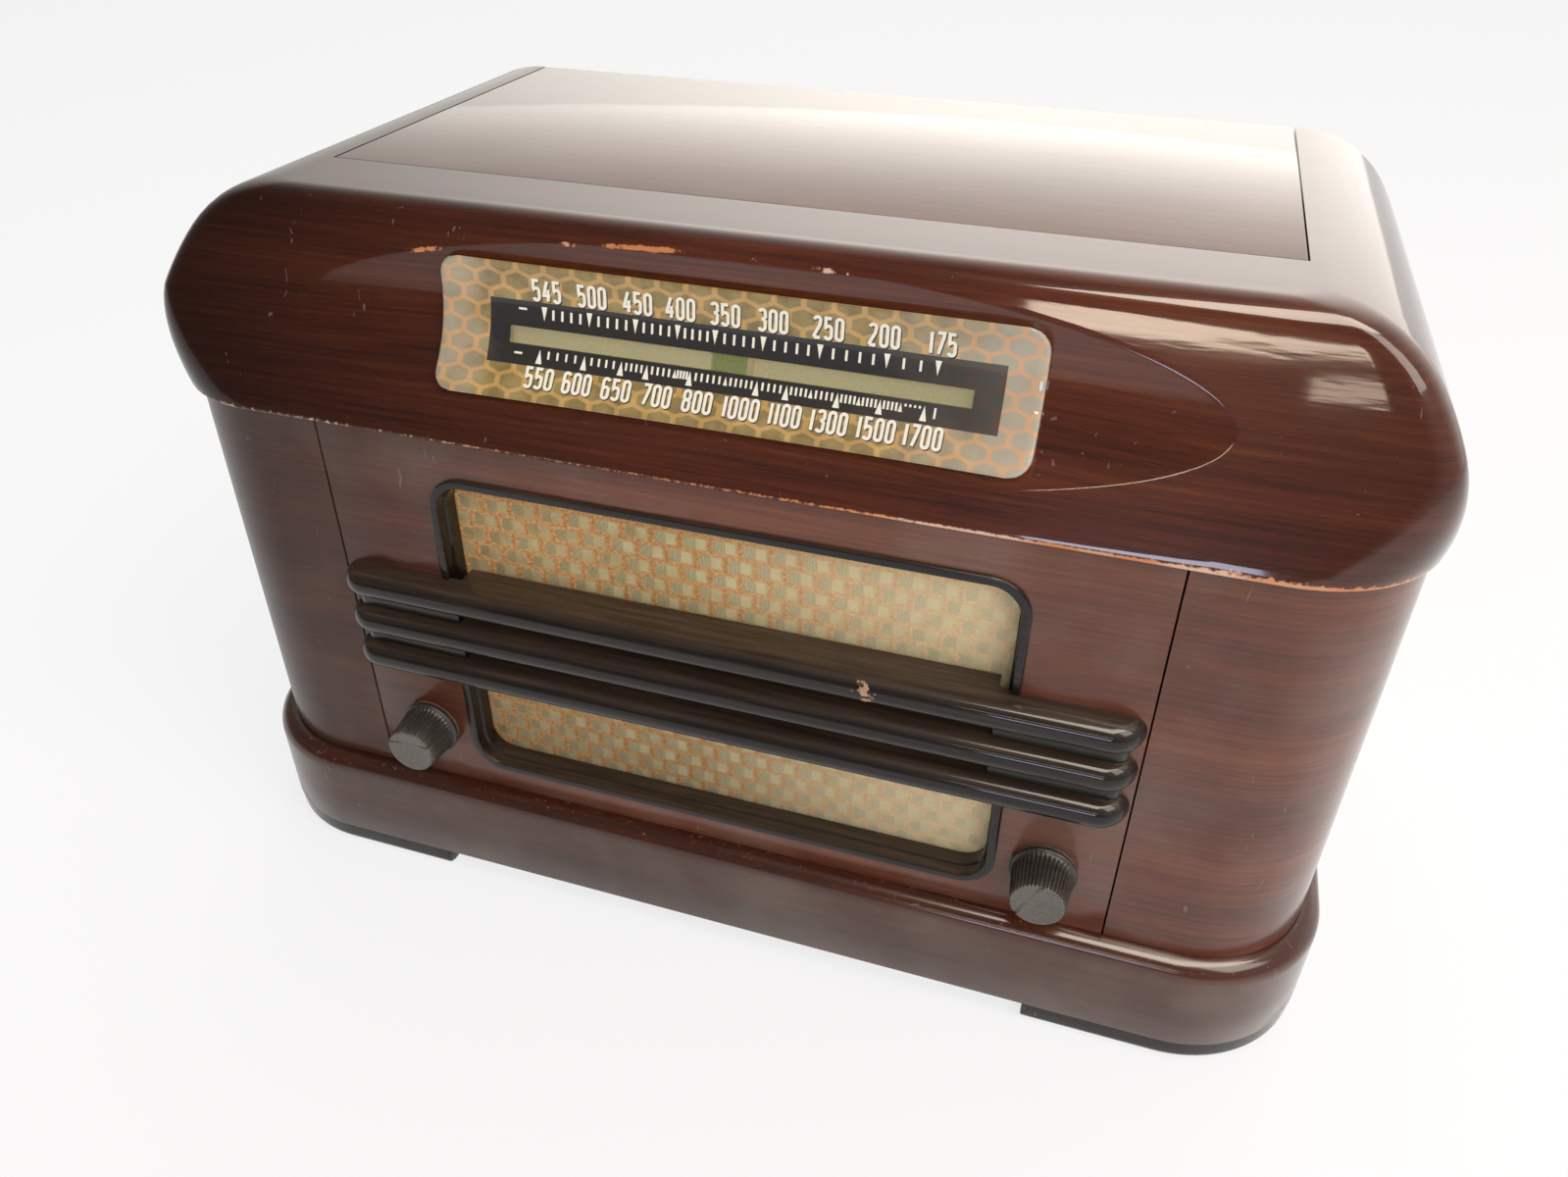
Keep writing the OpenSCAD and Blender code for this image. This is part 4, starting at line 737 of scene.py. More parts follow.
def wood(name, depth=1.0, **options):
    """Mahogany with the user's tones, times depth, and a piece's own finish."""
    wishes = bpy.context.scene.radio_wood
    tones = (wishes.dark, wishes.middle, wishes.light)
    tones = [[channel * depth for channel in tone[:3]] + [1.0] for tone in tones]
    return find_material(name, lambda n: mahogany(n, *tones, wear=wishes.edge_wear, **options))


def black_wood(name="ebonised_hardwood", **options):
    return find_material(name, lambda n: ebonised(n, **options))


# Hood

HOOD_COLUMNS = 96
CORNER_STEPS = 14
FLAT_STEPS = 6
RECESS_STEPS = 16
BROW_STEPS = 12
UNDER_INSET = 6.0
LIP_ROUND = 0.9
RIM_ROUND = 0.5
# The faces beside a rim are narrow, so that its bend stays crisp
RIM_BAND = 1.1


def slope_z(u):
    return RECESS_Z + u * math.cos(LEAN)


def section_point(column, z, inset=0.0):
    """A point of the hood's plan section at a height. The column says which
    stretch it is on: side, corner, flat front or front at a fixed x."""
    kind, t, hand = column
    half, radius = hood_half(z), hood_corner(z)
    front = hood_front(z)
    if kind == "side":
        x, y = half - inset, BODY_D + (front + radius - BODY_D) * t
    elif kind == "corner":
        turn = math.pi / 2 * t
        x = half - radius + (radius - inset) * math.cos(turn)
        y = front + radius - (radius - inset) * math.sin(turn)
    elif kind == "flat":
        x, y = half - radius + (RECESS_L - half + radius) * t, front + inset
    else:
        x, y = t, front + inset
    return (hand * x, y, z)


def hood_stack(column):
    """The hood's points up one column, from under the lip to the top."""
    carved = column[0] == "recess" and abs(column[1]) < RECESS_L - 1e-6
    x = column[1] if column[0] == "recess" else RECESS_L
    edge = recess_edge(x) if carved else 0.0
    stations = [(HOOD_Z, UNDER_INSET)]
    for turn in (0, 30, 60, 90):
        a = math.radians(turn)
        stations.append((HOOD_Z + LIP_ROUND * (1 - math.cos(a)), LIP_ROUND * (1 - math.sin(a))))
    low, high = HOOD_Z + LIP_ROUND, slope_z(-edge - RIM_ROUND)
    stations += [(z, 0.0) for z in spread(10, low, high - RIM_BAND)[1:] + [high]]
    stack = [section_point(column, z, inset) for z, inset in stations]
    if carved:
        r = spindle(x)
        half_turn = math.acos(SPINDLE_AXIS / r) - RIM_ROUND / r
        near = min(0.08, 1.2 / (2 * r * half_turn + 1e-6))
        for t in [0.0] + spread(RECESS_STEPS, near, 1 - near) + [1.0]:
            stack.append(on_spindle(x, half_turn * (2 * t - 1), 0.0))
    else:
        stack += [section_point(column, slope_z(0.0))] * (RECESS_STEPS + 3)
    low = slope_z(edge + RIM_ROUND)
    heights = [low] + spread(8, low + RIM_BAND, BROW_START)
    heights += [BROW_Z + BROW_R * math.sin(turn) for turn in spread(BROW_STEPS, LEAN, math.pi / 2)[1:]]
    stack += [section_point(column, z) for z in heights]
    return stack + [section_point(column, BODY_H, 1.5)]


def hood_surface(bm):
    """The closed outer surface of the hood with the carved recess in it."""
    right = []
    for kind, count in (("side", CORNER_STEPS), ("corner", CORNER_STEPS), ("flat", FLAT_STEPS)):
        right += [(kind, i / count, 1) for i in range(count)]
    # Columns crowd towards the recess's pointed ends
    turns = spread(HOOD_COLUMNS, math.pi / 2, -math.pi / 2)
    columns = right + [("recess", RECESS_L * math.sin(turn), 1) for turn in turns]
    columns += [(kind, t, -1) for kind, t, _ in reversed(right)]
    lines = []
    for column in columns:
        stack = hood_stack(column)
        line = []
        for i, p in enumerate(stack):
            line.append(line[-1] if i and p == stack[i - 1] else bm.verts.new(p))
        lines.append(line)
    rows = list(zip(*lines))
    grid_faces(bm, rows, close=True)
    bm.faces.new(rows[0])
    bm.faces.new(rows[-1])


def cavity_cutter():
    """The hollow behind the hood's front and under its roof."""
    rings = []
    for z in spread(14, HOOD_Z - 1, BODY_H - HOOD_WALL):
        half = min(BODY_HALF - SIDE_T, hood_half(max(z, HOOD_Z), HOOD_WALL))
        front = front_face(z) + HOOD_FRONT_T / math.cos(LEAN)
        radius = min(30.0, 4 + 26 * max(0.0, 1 - (z - HOOD_Z) / 30))
        ring = [(half, BODY_D + 5)] + arc(half - radius, front + radius, radius, 0, -90, 8)
        ring += [(-x, y) for x, y in reversed(ring)]
        rings.append([(x, y, z) for x, y in ring])
    return lofted_object("cavity_cutter", rings)


def glass_cutter():
    """A straight prism through the slope, behind the dial glass."""
    w, h = OPEN_HALF_W, OPEN_HALF_H
    corners = [(-w, -h), (w, -h), (w, h), (-w, h)]
    return lofted_object("glass_opening", [[on_slope(x, u, out) for x, u in corners] for out in (-30.0, 6.0)])


# Wear stops this far back, and the recess's upper rim is bare between these x
WORN_DEPTH = 60
RUBBED_SPANS = ((-97, -83), (-51, -42), (-38, -12), (22, 30))


def hood_wear(x, y, z):
    """Rubbed spots along the lip, the recess's rim and the brow."""
    worn = 0.0
    if y < WORN_DEPTH:
        worn = (0.62 + 0.24 * smooth_step(x, -40, 120)) * (1 - smooth_step(z, HOOD_Z + 0.7, HOOD_Z + 2.2))
        if abs(y - BROW_Y) < 9 and z > BROW_START - 1:
            worn = max(worn, 0.34)
    if y < 40 and abs(x) < RECESS_L:
        up = (z - RECESS_Z) / math.cos(LEAN)
        off = abs(abs(up) - recess_edge(x))
        rubbed = 0.0
        for low, high in RUBBED_SPANS:
            rubbed = max(rubbed, smooth_step(x, low, low + 3) * (1 - smooth_step(x, high - 3, high)))
        depth = 0.5 + 0.3 * rubbed if up > 0 else 0.46
        worn = max(worn, depth * (1 - smooth_step(off, 0.3, 1.1 + 0.5 * rubbed)))
    return worn


def hood_painted_shade(x, y, z):
    """Painted shade: darkest at the left end, and a little darker at the right shoulder."""
    left = 0.66 * (1 - smooth_step(x, -150, 10)) + 0.24 * (1 - smooth_step(x, -185, -115))
    right = smooth_step(x, 120, 160)
    return min(0.9, left + 0.25 * right)


class RADIO_OT_hood(bpy.types.Operator):
    """Builds the upper case with its rounded shoulders and carved recess"""

    bl_idname = "radio.hood"
    bl_label = "Hood"

    def execute(self, context):
        bm = bmesh.new()
        hood_surface(bm)
        hood = loose_object("hood_case", bm)
        cut_with(hood, cavity_cutter())
        cut_with(hood, glass_cutter())
        pocket = TOP_HALF + TOP_SEAM
        low = (-pocket, TOP_FRONT_Y - TOP_SEAM, BODY_H - TOP_T)
        cut_with(hood, box_cutter("top_pocket", low, (pocket, BODY_D + 5, BODY_H + 5)))
        mat = wood("gloss_lacquered_mahogany", rough=0.25, coat_rough=0.05)
        finish_wood(hood, mat, angle=32, replaces=["hood"], masks=(hood_wear, hood_painted_shade))
        return {"FINISHED"}


class RADIO_OT_top_panel(bpy.types.Operator):
    """Builds the veneered panel let into the top"""

    bl_idname = "radio.top_panel"
    bl_label = "Top panel"

    def execute(self, context):
        bm = bmesh.new()
        box(bm, (-TOP_HALF, TOP_FRONT_Y, BODY_H - TOP_T), (TOP_HALF, BODY_D, BODY_H), EDGE_EASE)
        mat = wood("satin_top_veneer", rough=0.4, coat_rough=0.1, grey=0.1, film=0.2)
        finish_wood(loose_object("top_veneer_panel", bm), mat, replaces=["top_panel"])
        return {"FINISHED"}


# Body


def panel_wear(x, y, z):
    """A little rubbing low on the corners."""
    return 0.42 * (1 - smooth_step(z, WALL_Z + 8, WALL_Z + 12)) if y < WORN_DEPTH else 0.0


def panel_painted_shade(x, y, z):
    """Painted shade, darkest at the left end."""
    return 0.85 * (1 - smooth_step(x, -190, -30))


class RADIO_OT_body(bpy.types.Operator):
    """Builds the two bent sides and the front panel between the seams"""

    bl_idname = "radio.body"
    bl_label = "Body panels"

    def execute(self, context):
        mat = wood(
            "satin_lacquered_mahogany", depth=1.15, rough=0.36, coat_rough=0.16, coat_ior=1.42,
            grey=0.2, film=0.07,
        )
        masks = (panel_wear, panel_painted_shade)
        seam_x = PANEL_HALF + SEAM_W
        for side, hand in SIDES:
            bm = bmesh.new()
            face = [(0.0, z) for z in spread(12, WALL_Z, HOOD_Z)]
            profile = [(-SIDE_T, WALL_Z)] + face + [(-SIDE_T, HOOD_Z)]
            moulding(bm, body_path(from_x=seam_x), profile)
            ease_end(bm, seam_x, 1e-4, EDGE_EASE)
            mirror(bm, hand)
            finish_wood(loose_object("side_panel_" + side, bm), mat, replaces=["side_" + side], masks=masks)
        bm = bmesh.new()
        box(bm, (-PANEL_HALF, 0.0, WALL_Z), (PANEL_HALF, PANEL_T, HOOD_Z), EDGE_EASE)
        for cut in spread(12, -PANEL_HALF, PANEL_HALF)[1:-1]:
            geom = bm.verts[:] + bm.edges[:] + bm.faces[:]
            bmesh.ops.bisect_plane(bm, geom=geom, plane_co=(cut, 0, 0), plane_no=(1, 0, 0))
        front = loose_object("front_face_panel", bm)
        gap = TRIM_LEG + TRIM_PLAY
        opening = rounded_outline(TRIM_IN_W / 2 + gap, TRIM_IN_H / 2 + gap, TRIM_CORNER + gap)
        cut_with(front, outline_prism("trim_hole", opening, -2.0, PANEL_T + 2))
        for hand in (-1, 1):
            ring = arc(hand * KNOB_X, KNOB_Z - GRILLE_Z, SHAFT_HOLE_R, 0, 360, 32)[:-1]
            cut_with(front, outline_prism("knob_hole", ring, -2.0, PANEL_T + 2))
        finish_wood(front, mat, angle=32, replaces=["front_panel"], masks=masks)
        return {"FINISHED"}


def plinth_wear(x, y, z):
    """Nicks along the lower edge and on the round's crown."""
    low = 0.5 * (1 - smooth_step(z, FOOT_H + 0.4, FOOT_H + 1.6))
    return max(low, 0.5 * smooth_step(z, PLINTH_Z - 6, PLINTH_Z - 2))


# Painted shade, darker towards the left end
def plinth_painted_shade(x, y, z):
    return 0.3 * (1 - smooth_step(x, -190, 0))


def foot_wear(x, y, z):
    """The rails are bare at their front ends."""
    return 0.55 * (1 - smooth_step(abs(x), FOOT_GAP + 2, FOOT_GAP + 7)) if y < 20 else 0.0


class RADIO_OT_base(bpy.types.Operator):
    """Builds the plinth moulding and the two foot rails"""

    bl_idname = "radio.base"
    bl_label = "Plinth and feet"

    def execute(self, context):
        bm = bmesh.new()
        inner, flat = PLINTH_OUT - PLINTH_T, PLINTH_OUT - PLINTH_ROUND
        profile = [(inner, FOOT_H), (PLINTH_OUT - 0.7, FOOT_H), (PLINTH_OUT - 0.2, FOOT_H + 0.2)]
        rise = (FOOT_H + 0.7, FOOT_H + 14, PLINTH_Z - PLINTH_ROUND - 1.2)
        profile += [(PLINTH_OUT, z) for z in rise]
        profile += arc(flat, PLINTH_Z - PLINTH_ROUND, PLINTH_ROUND, 0, 90, 10)
        profile += [(0.15, PLINTH_Z), (0.15, WALL_Z), (inner, WALL_Z)]
        moulding(bm, body_path(steps=32), profile)
        mat = wood(
            "rubbed_plinth_mahogany", depth=0.6, rough=0.34, coat=0.9, coat_rough=0.14, grey=0.18, film=0.1,
            top_film=0.1, worn=("#9C5230", "#B5754F"),
        )
        plinth = loose_object("plinth_moulding", bm)
        finish_wood(plinth, mat, replaces=["plinth"], masks=(plinth_wear, plinth_painted_shade))
        for side, hand in SIDES:
            bm = bmesh.new()
            edge = PLINTH_OUT - 0.4
            section = [(PLINTH_OUT - FOOT_W, 0.0)] + arc(edge - 3, 3.0, 3.0, -90, 0, 6)
            section += [(edge, FOOT_H), (PLINTH_OUT - FOOT_W, FOOT_H)]
            moulding(bm, body_path(from_x=FOOT_GAP), section)
            ease_end(bm, FOOT_GAP, 20.0, 0.6)
            mirror(bm, hand)
            foot = loose_object("foot_rail_" + side, bm)
            finish_wood(foot, black_wood(), BLACK, replaces=["foot_" + side], masks=(foot_wear,))
        return {"FINISHED"}


# Grille


def trim_profile():
    """The moulded trim's section as (away from the opening, to the front):
    a flat outer face with eased edges, and a lower ledge inside it."""
    top, ledge, step = 1.5, -2.6, TRIM_LEG - 0.3
    face = [(TRIM_FACE, 0.0), (TRIM_FACE, 0.8)] + arc(TRIM_FACE - 0.7, top - 0.7, 0.7, 0, 90, 4)
    face += arc(step + 0.7, top - 0.7, 0.7, 90, 180, 4) + [(step, ledge + 0.2), (step - 0.2, ledge)]
    face += [(0.4, ledge), (0.0, ledge - 0.4)]
    return face + [(0.0, 0.3 - PANEL_T), (TRIM_LEG, 0.3 - PANEL_T), (TRIM_LEG, 0.0)]


def bar_wear(x, y, z):
    """A chip on the upper bar, and a rubbed line along each bar's nose."""
    if z > BAR_Z + BAR_PITCH / 2 and 48 < x < 56 and y < -7:
        return 0.75
    return 0.22 if y < -8.6 else 0.0


class RADIO_OT_grille(bpy.types.Operator):
    """Builds the trim round the opening, the three bars and their blocks"""

    bl_idname = "radio.grille"
    bl_label = "Grille trim and bars"

    def execute(self, context):
        black = black_wood()
        bm = bmesh.new()
        rows = []
        for x, z in rounded_outline(TRIM_IN_W / 2, TRIM_IN_H / 2, TRIM_CORNER):
            away = outward(x, z, TRIM_IN_W / 2 - TRIM_CORNER, TRIM_IN_H / 2 - TRIM_CORNER)
            section = [(x + away.x * out, -front, GRILLE_Z + z + away.y * out) for out, front in trim_profile()]
            rows.append([bm.verts.new(p) for p in section])
        grid_faces(bm, rows + [rows[0]], close=True)
        trim = loose_object("opening_trim", bm)
        reach = BAR_PITCH + BAR_H / 2 + 0.3
        low, high = (-120, -TRIM_RAISE - 1, BAR_Z - reach), (120, 0.0, BAR_Z + reach)
        cut_with(trim, box_cutter("trim_notch", low, high))
        finish_wood(trim, black, BLACK, replaces=["grille_trim"], masks=(lambda x, y, z: 0.3,))

        run, nose = BAR_HALF - BAR_OUT, BAR_H / 2
        half = [(0.0, -nose)] + arc(BAR_OUT - nose, 0.0, nose, -90, 90, 14) + [(0.0, nose)]
        end = [(run, 0.0, math.cos(t), -math.sin(t)) for t in spread(10, 0.0, math.pi / 2)]
        path = end + [(x, 0.0, 0, -1) for x in spread(24, run, -run)[1:-1]]
        path += [(-x, y, -nx, ny) for x, y, nx, ny in reversed(end)]
        for name, step in (("upper", 1), ("middle", 0), ("lower", -1)):
            bm = bmesh.new()
            centre = BAR_Z + step * BAR_PITCH
            moulding(bm, path, [(out, centre + z) for out, z in half])
            bmesh.ops.remove_doubles(bm, verts=bm.verts, dist=1e-4)
            bar = loose_object("grille_slat_" + name, bm)
            low = (-TONGUE_HALF, -1.0, centre - nose + 0.01)
            high = (TONGUE_HALF, TONGUE_BACK, centre + nose - 0.01)
            cut_with(bar, box_cutter("bar_tongue", low, high), "UNION")
            finish_wood(bar, black, BLACK, replaces=["grille_bar_" + name], masks=(bar_wear,))

        bm = bmesh.new()
        half_gap = (BAR_PITCH - BAR_H) / 2 - 0.02
        plan = [(BLOCK_NEAR, 0.0), (BLOCK_NEAR, -BLOCK_OUT)]
        plan += arc(BAR_HALF - 3.0 - BLOCK_OUT, 0.0, BLOCK_OUT, -90, 0, 8)
        for hand in (1, -1):
            for step in (-0.5, 0.5):
                middle = BAR_Z + step * BAR_PITCH
                levels = (middle - half_gap, middle + half_gap)
                loft(bm, [[(hand * x, y, z) for x, y in plan] for z in levels])
        blocks = black_wood("ebonised_blocks", base="#1B1D18")
        finish_wood(loose_object("bar_blocks", bm), blocks, BLACK, replaces=["bar_fillers"])
        return {"FINISHED"}


# Cloth


def cloth_weave(name):
    """Open rayon grille cloth with a metal thread. The eye gets staggered
    pairs of pale metal checks, olive at the left, among tan yarns."""
    sizes = bpy.context.scene.radio_grille
    period, row = sizes.check_w * 2000, sizes.row_h * 1000
    mat, tree, shader = new_material(name, Sheen_Weight=0.25, Sheen_Roughness=0.4)
    uv = add(tree, "ShaderNodeUVMap", uv_map="weave")
    wobble = noise_field(tree, uv, 0.12, 2.0).outputs["Color"]
    place = vector_maths(tree, "ADD", uv, vector_maths(tree, "MULTIPLY", wobble, (1.6, 1.0, 0.0)))
    x, y, _ = add(tree, "ShaderNodeSeparateXYZ", {0: place}).outputs
    slub = noise_field(tree, uv, 0.9, 4.0, 0.65)
    fray = remap(tree, slub, 0.3, 0.7, -0.05, 0.05)
    # Every other row is moved by half a period
    rows = maths(tree, "DIVIDE", y, row)
    odd = maths(tree, "FLOORED_MODULO", maths(tree, "FLOOR", rows), 2.0)
    moved = maths(tree, "ADD", maths(tree, "DIVIDE", x, period), maths(tree, "MULTIPLY", odd, 0.5))
    row_part, cell_part = maths(tree, "FRACT", rows), maths(tree, "FRACT", moved)
    # A pair of checks fills 3/4 of its period and 2/3 of its row
    fills = []
    for part, middle, reach in (
        (cell_part, 0.2, 0.17), (cell_part, 0.575, 0.18), (row_part, 0.5, 0.34), (cell_part, 0.89, 0.05)
    ):
        rough_edge = maths(tree, "ADD", distance(tree, part, middle), fray)
        fills.append(remap(tree, rough_edge, reach - 0.04, reach + 0.04, 1.0, 0.0))
    check = maths(tree, "MULTIPLY", maths(tree, "MAXIMUM", fills[0], fills[1]), fills[2])
    hatched = maths(tree, "GREATER_THAN", cell_part, 0.385)
    # Metal threads 0.8 mm apart: crossed in one check, slanting in the other
    slants = []
    for lean in (7.8, -7.8):
        run = maths(tree, "ADD", maths(tree, "MULTIPLY", x, 7.8), maths(tree, "MULTIPLY", y, lean))
        slants.append(maths(tree, "SINE", run))
    dots = remap(tree, maths(tree, "MULTIPLY", *slants), -0.15, 0.3)
    stripes = remap(tree, slants[0], -0.6, 0.4)
    threads = add(tree, "ShaderNodeMix", {0: hatched, 2: dots, 3: stripes}, data_type="FLOAT")
    patch = noise_field(tree, uv, 0.11, 1.0)
    amount = maths(tree, "ADD", patch, remap(tree, x, 10.0, 150.0, 0.3, 1.15))
    strength = remap(tree, amount, 0.6, 1.3, 0.2, 1.0)
    olive = two_tone(tree, slub, "#7E652C", "#A48443")
    shadow = blend(tree, hatched, "#6A5A2C", "#A08A44")
    glints = blend(tree, threads, shadow, "#FAF3C6")
    metal = blend(tree, strength, olive, glints)
    weft_tone = colour_ramp(tree, slub, (0.32, "#AC793F"), (0.66, "#DDB380"))
    warp_tone = two_tone(tree, slub, "#A87239", "#CC9A5C")
    yarn = blend(tree, fills[3], weft_tone, warp_tone)
    colour = blend(tree, check, yarn, metal)
    # Soil in soft patches, and painted shade: the cloth is darkened towards the bottom, where the bars shade it
    dust = remap(tree, noise_field(tree, uv, 0.035, 3.0), 0.3, 0.7, 0.88, 1.0)
    soil_and_painted_shade = maths(tree, "MULTIPLY", dust, remap(tree, y, 15.0, 75.0, 0.68, 1.0))
    soiled_and_shaded = blend(tree, 1.0, colour, soil_and_painted_shade, "MULTIPLY")
    # Painted light: the cloth is lightened towards the right, the side the lamps light; the metal checks are
    # strongest there too
    pale = blend(tree, remap(tree, x, 90.0, 180.0, 0.0, 0.5), soiled_and_shaded, "#FFF0CC")
    shine = maths(tree, "MULTIPLY", check, threads)
    bright = remap(tree, shine, 0.0, 1.0, 0.0, 0.3)
    dull = remap(tree, shine, 0.0, 1.0, 0.8, 0.38)
    raised = maths(tree, "MULTIPLY", maths(tree, "SUBTRACT", 1.0, check), slub)
    bump = bump_map(tree, maths(tree, "ADD", shine, raised), 0.6, 0.0004)
    feed(shader, Base_Color=pale, Metallic=bright, Roughness=dull, Normal=bump)
    return mat


class RADIO_OT_cloth(bpy.types.Operator):
    """Builds the woven cloth stretched behind the grille"""

    bl_idname = "radio.cloth"
    bl_label = "Grille cloth"

    def execute(self, context):
        sizes = context.scene.radio_grille
        check, row = sizes.check_w * 1000, sizes.row_h * 1000
        bm = bmesh.new()
        # A vertex about every 0.9 mm
        columns = spread(int(CLOTH_W / 0.85), 0.0, CLOTH_W)
        rows = spread(int(CLOTH_H / 0.9), 0.0, CLOTH_H)
        grid = []
        for v in rows:
            line = []
            for u in columns:
                edge = u in (columns[0], columns[-1]) or v in (rows[0], rows[-1])
                swell = math.sin(math.pi * (u / check % 1)) ** 2 * math.sin(math.pi * (v / row % 1)) ** 2
                parity = (math.floor(u / check) + math.floor(v / row)) % 2
                lift = 0.0 if edge else (CHECK_RISE if parity else -CHECK_DIP) * swell
                place = (u - CLOTH_W / 2, PANEL_T + 0.25 - lift, GRILLE_Z - CLOTH_H / 2 + v)
                line.append(bm.verts.new(place))
            grid.append(line)
        grid_faces(bm, grid)
        border = grid_border(grid)
        behind = [bm.verts.new((v.co.x, PANEL_T + CLOTH_T, v.co.z)) for v in border]
        grid_faces(bm, [border, behind], close=True)
        bm.faces.new(behind)
        write_uv(bm, "weave", lambda x, y, z: (x + CLOTH_W / 2, z - GRILLE_Z + CLOTH_H / 2))
        mat = find_material("metal_thread_cloth", cloth_weave)
        cloth = finish_mesh(
            "woven_grille_cloth", bm, mat, "cabinet", angle=60, slot="grille_cloth", replaces=["grille_cloth"]
        )
        return {"FINISHED"}


# Dial glass

SLOT_X = (-64.6, 68.2)
SLOT_V = (-3.2, 1.7)
BAND_X = (-70.8, 75.8)
BAND_V = (-9.1, 8.9)
INK_UNDER = 0.05
# The pane's rounded edge, as (out from the face's edge, down from the face)
GLASS_ROUND = ((0.45, 0.12), (0.78, 0.42), (GLASS_EDGE, 0.9), (GLASS_EDGE, GLASS_RAISE - GLASS_SEAT))


def glass_height(v):
    """How far up the slope a point v millimetres up the glass's bend lies."""
    r = spindle(0.0) - GLASS_RAISE
    return r * math.sin(v / r)


def glass_bend(u):
    r = spindle(0.0) - GLASS_RAISE
    return r * math.asin(u / r)


def glass_reach(u, inset):
    """Half width of the glass at a height up the slope."""
    straight = GLASS_HALF_H - GLASS_CORNER
    r = GLASS_CORNER - inset
    over = max(0.0, abs(u) - straight)
    return GLASS_HALF_W - GLASS_CORNER + math.sqrt(max(0.0, r * r - over * over))


def on_lift(x, u, lift):
    """A point over the recess's floor, at a height up the slope."""
    r = spindle(x) - lift
    return on_slope(x, u, SPINDLE_AXIS - math.sqrt(r * r - u * u))


def up_slope(y, z):
    """How far up the slope a point lies."""
    return (z - RECESS_Z) * math.cos(LEAN) + (y - front_face(RECESS_Z)) * math.sin(LEAN)


def on_print(x, y, z):
    """A point's place on the print, in millimetres."""
    return x, glass_bend(up_slope(y, z))


def merge_sorted(values, least):
    """Sorted values without near doubles; the ones given first win."""
    kept = []
    for value in values:
        if all(abs(value - other) > least for other in kept):
            kept.append(value)
    return sorted(kept)


def printed_glass(name):
    """Bent glass, screen printed. The eye gets a comb of tan lines over
    olive, a dark scale band and a milky film of painted reflection and
    haze that grows to the right."""
    pitch = bpy.context.scene.radio_dial.hexagon * 1000
    mat, tree, shader = new_material(name, Roughness=0.5, Coat_Weight=1.0, Coat_Roughness=0.03, Coat_IOR=1.5)
    uv = add(tree, "ShaderNodeUVMap", uv_map="print")
    flat = vector_maths(tree, "MULTIPLY", uv, (1.0, 1.53, 0.0))
    tile = (pitch, pitch * math.sqrt(3), 1.0)
    ratio = vector_maths(tree, "DIVIDE", flat, tile)
    halves = []
    for shift in (0.0, 0.5):
        part = vector_maths(tree, "FRACTION", vector_maths(tree, "ADD", ratio, (shift, shift, 0.0)))
        centred = vector_maths(tree, "SUBTRACT", part, (0.5, 0.5, 0.0))
        halves.append(vector_maths(tree, "MULTIPLY", centred, tile))
    lengths = [vector_maths(tree, "LENGTH", half) for half in halves]
    nearer = maths(tree, "LESS_THAN", lengths[0], lengths[1])
    local = add(tree, "ShaderNodeMix", {0: nearer, 4: halves[1], 5: halves[0]}, data_type="VECTOR")
    size = vector_maths(tree, "ABSOLUTE", local)
    slant = vector_maths(tree, "DOT_PRODUCT", size, (0.5, 0.866, 0.0))
    wide = add(tree, "ShaderNodeSeparateXYZ", {0: size}).outputs[0]
    line = remap(tree, maths(tree, "MAXIMUM", slant, wide), pitch / 2 - 1.0, pitch / 2 - 0.62)
    speck = noise_field(tree, uv, 0.16, 4.0)
    cell = two_tone(tree, speck, "#735F30", "#93804C")
    gold = two_tone(tree, speck, "#A88446", "#C09A5E")
    comb = blend(tree, line, cell, gold)
    parts = add(tree, "ShaderNodeSeparateXYZ", {0: uv})
    edges = []
    for socket, (low, high) in ((0, BAND_X), (1, BAND_V)):
        away = distance(tree, parts.outputs[socket], (low + high) / 2)
        edges.append(maths(tree, "LESS_THAN", away, (high - low) / 2))
    band = maths(tree, "MULTIPLY", edges[0], edges[1])
    dark = blend(tree, band, comb, "#100B0E")
    # The milky film: painted reflection and haze on the glass, with a ragged drifting edge
    ragged = maths(tree, "MULTIPLY", noise_field(tree, uv, 0.07, 4.0, 0.6), 46.0)
    reach = maths(tree, "ADD", parts.outputs[0], ragged)
    right = remap(tree, reach, 62.0, 104.0, 0.0, 0.8)
    left = remap(tree, reach, -62.0, -44.0, 0.62, 0.0)
    thin = remap(tree, band, 0.0, 1.0, 1.0, 0.16)
    reflection_and_haze = maths(tree, "MULTIPLY", maths(tree, "MAXIMUM", right, left), thin)
    reflection_and_haze_tone = blend(tree, line, "#ADA79B", "#C9A084")
    with_haze_and_reflection = blend(tree, reflection_and_haze, dark, reflection_and_haze_tone)
    feed(shader, Base_Color=with_haze_and_reflection)
    return mat


def clear_strip(name):
    """Unprinted glass, frosted by dust. The eye gets a pale speckled strip
    with a green zone, and the needle faintly through it."""
    mat, tree, shader = new_material(name, Roughness=0.35, Coat_Weight=1.0, Coat_Roughness=0.04)
    uv = add(tree, "ShaderNodeUVMap", uv_map="print")
    grit = noise_field(tree, uv, 2.2, 4.0, 0.7)
    pale = two_tone(tree, grit, "#B0A878", "#E2DAB2")
    parts = add(tree, "ShaderNodeSeparateXYZ", {0: uv})
    # The tuning band's middle is marked green
    zone = maths(tree, "LESS_THAN", distance(tree, parts.outputs[0], 0.6), 5.2)
    tone = blend(tree, zone, pale, "#7F9052")
    feed(shader, Base_Color=tone)
    shader.inputs["Alpha"].default_value = 0.36
    mat.surface_render_method = "BLENDED"
    return mat


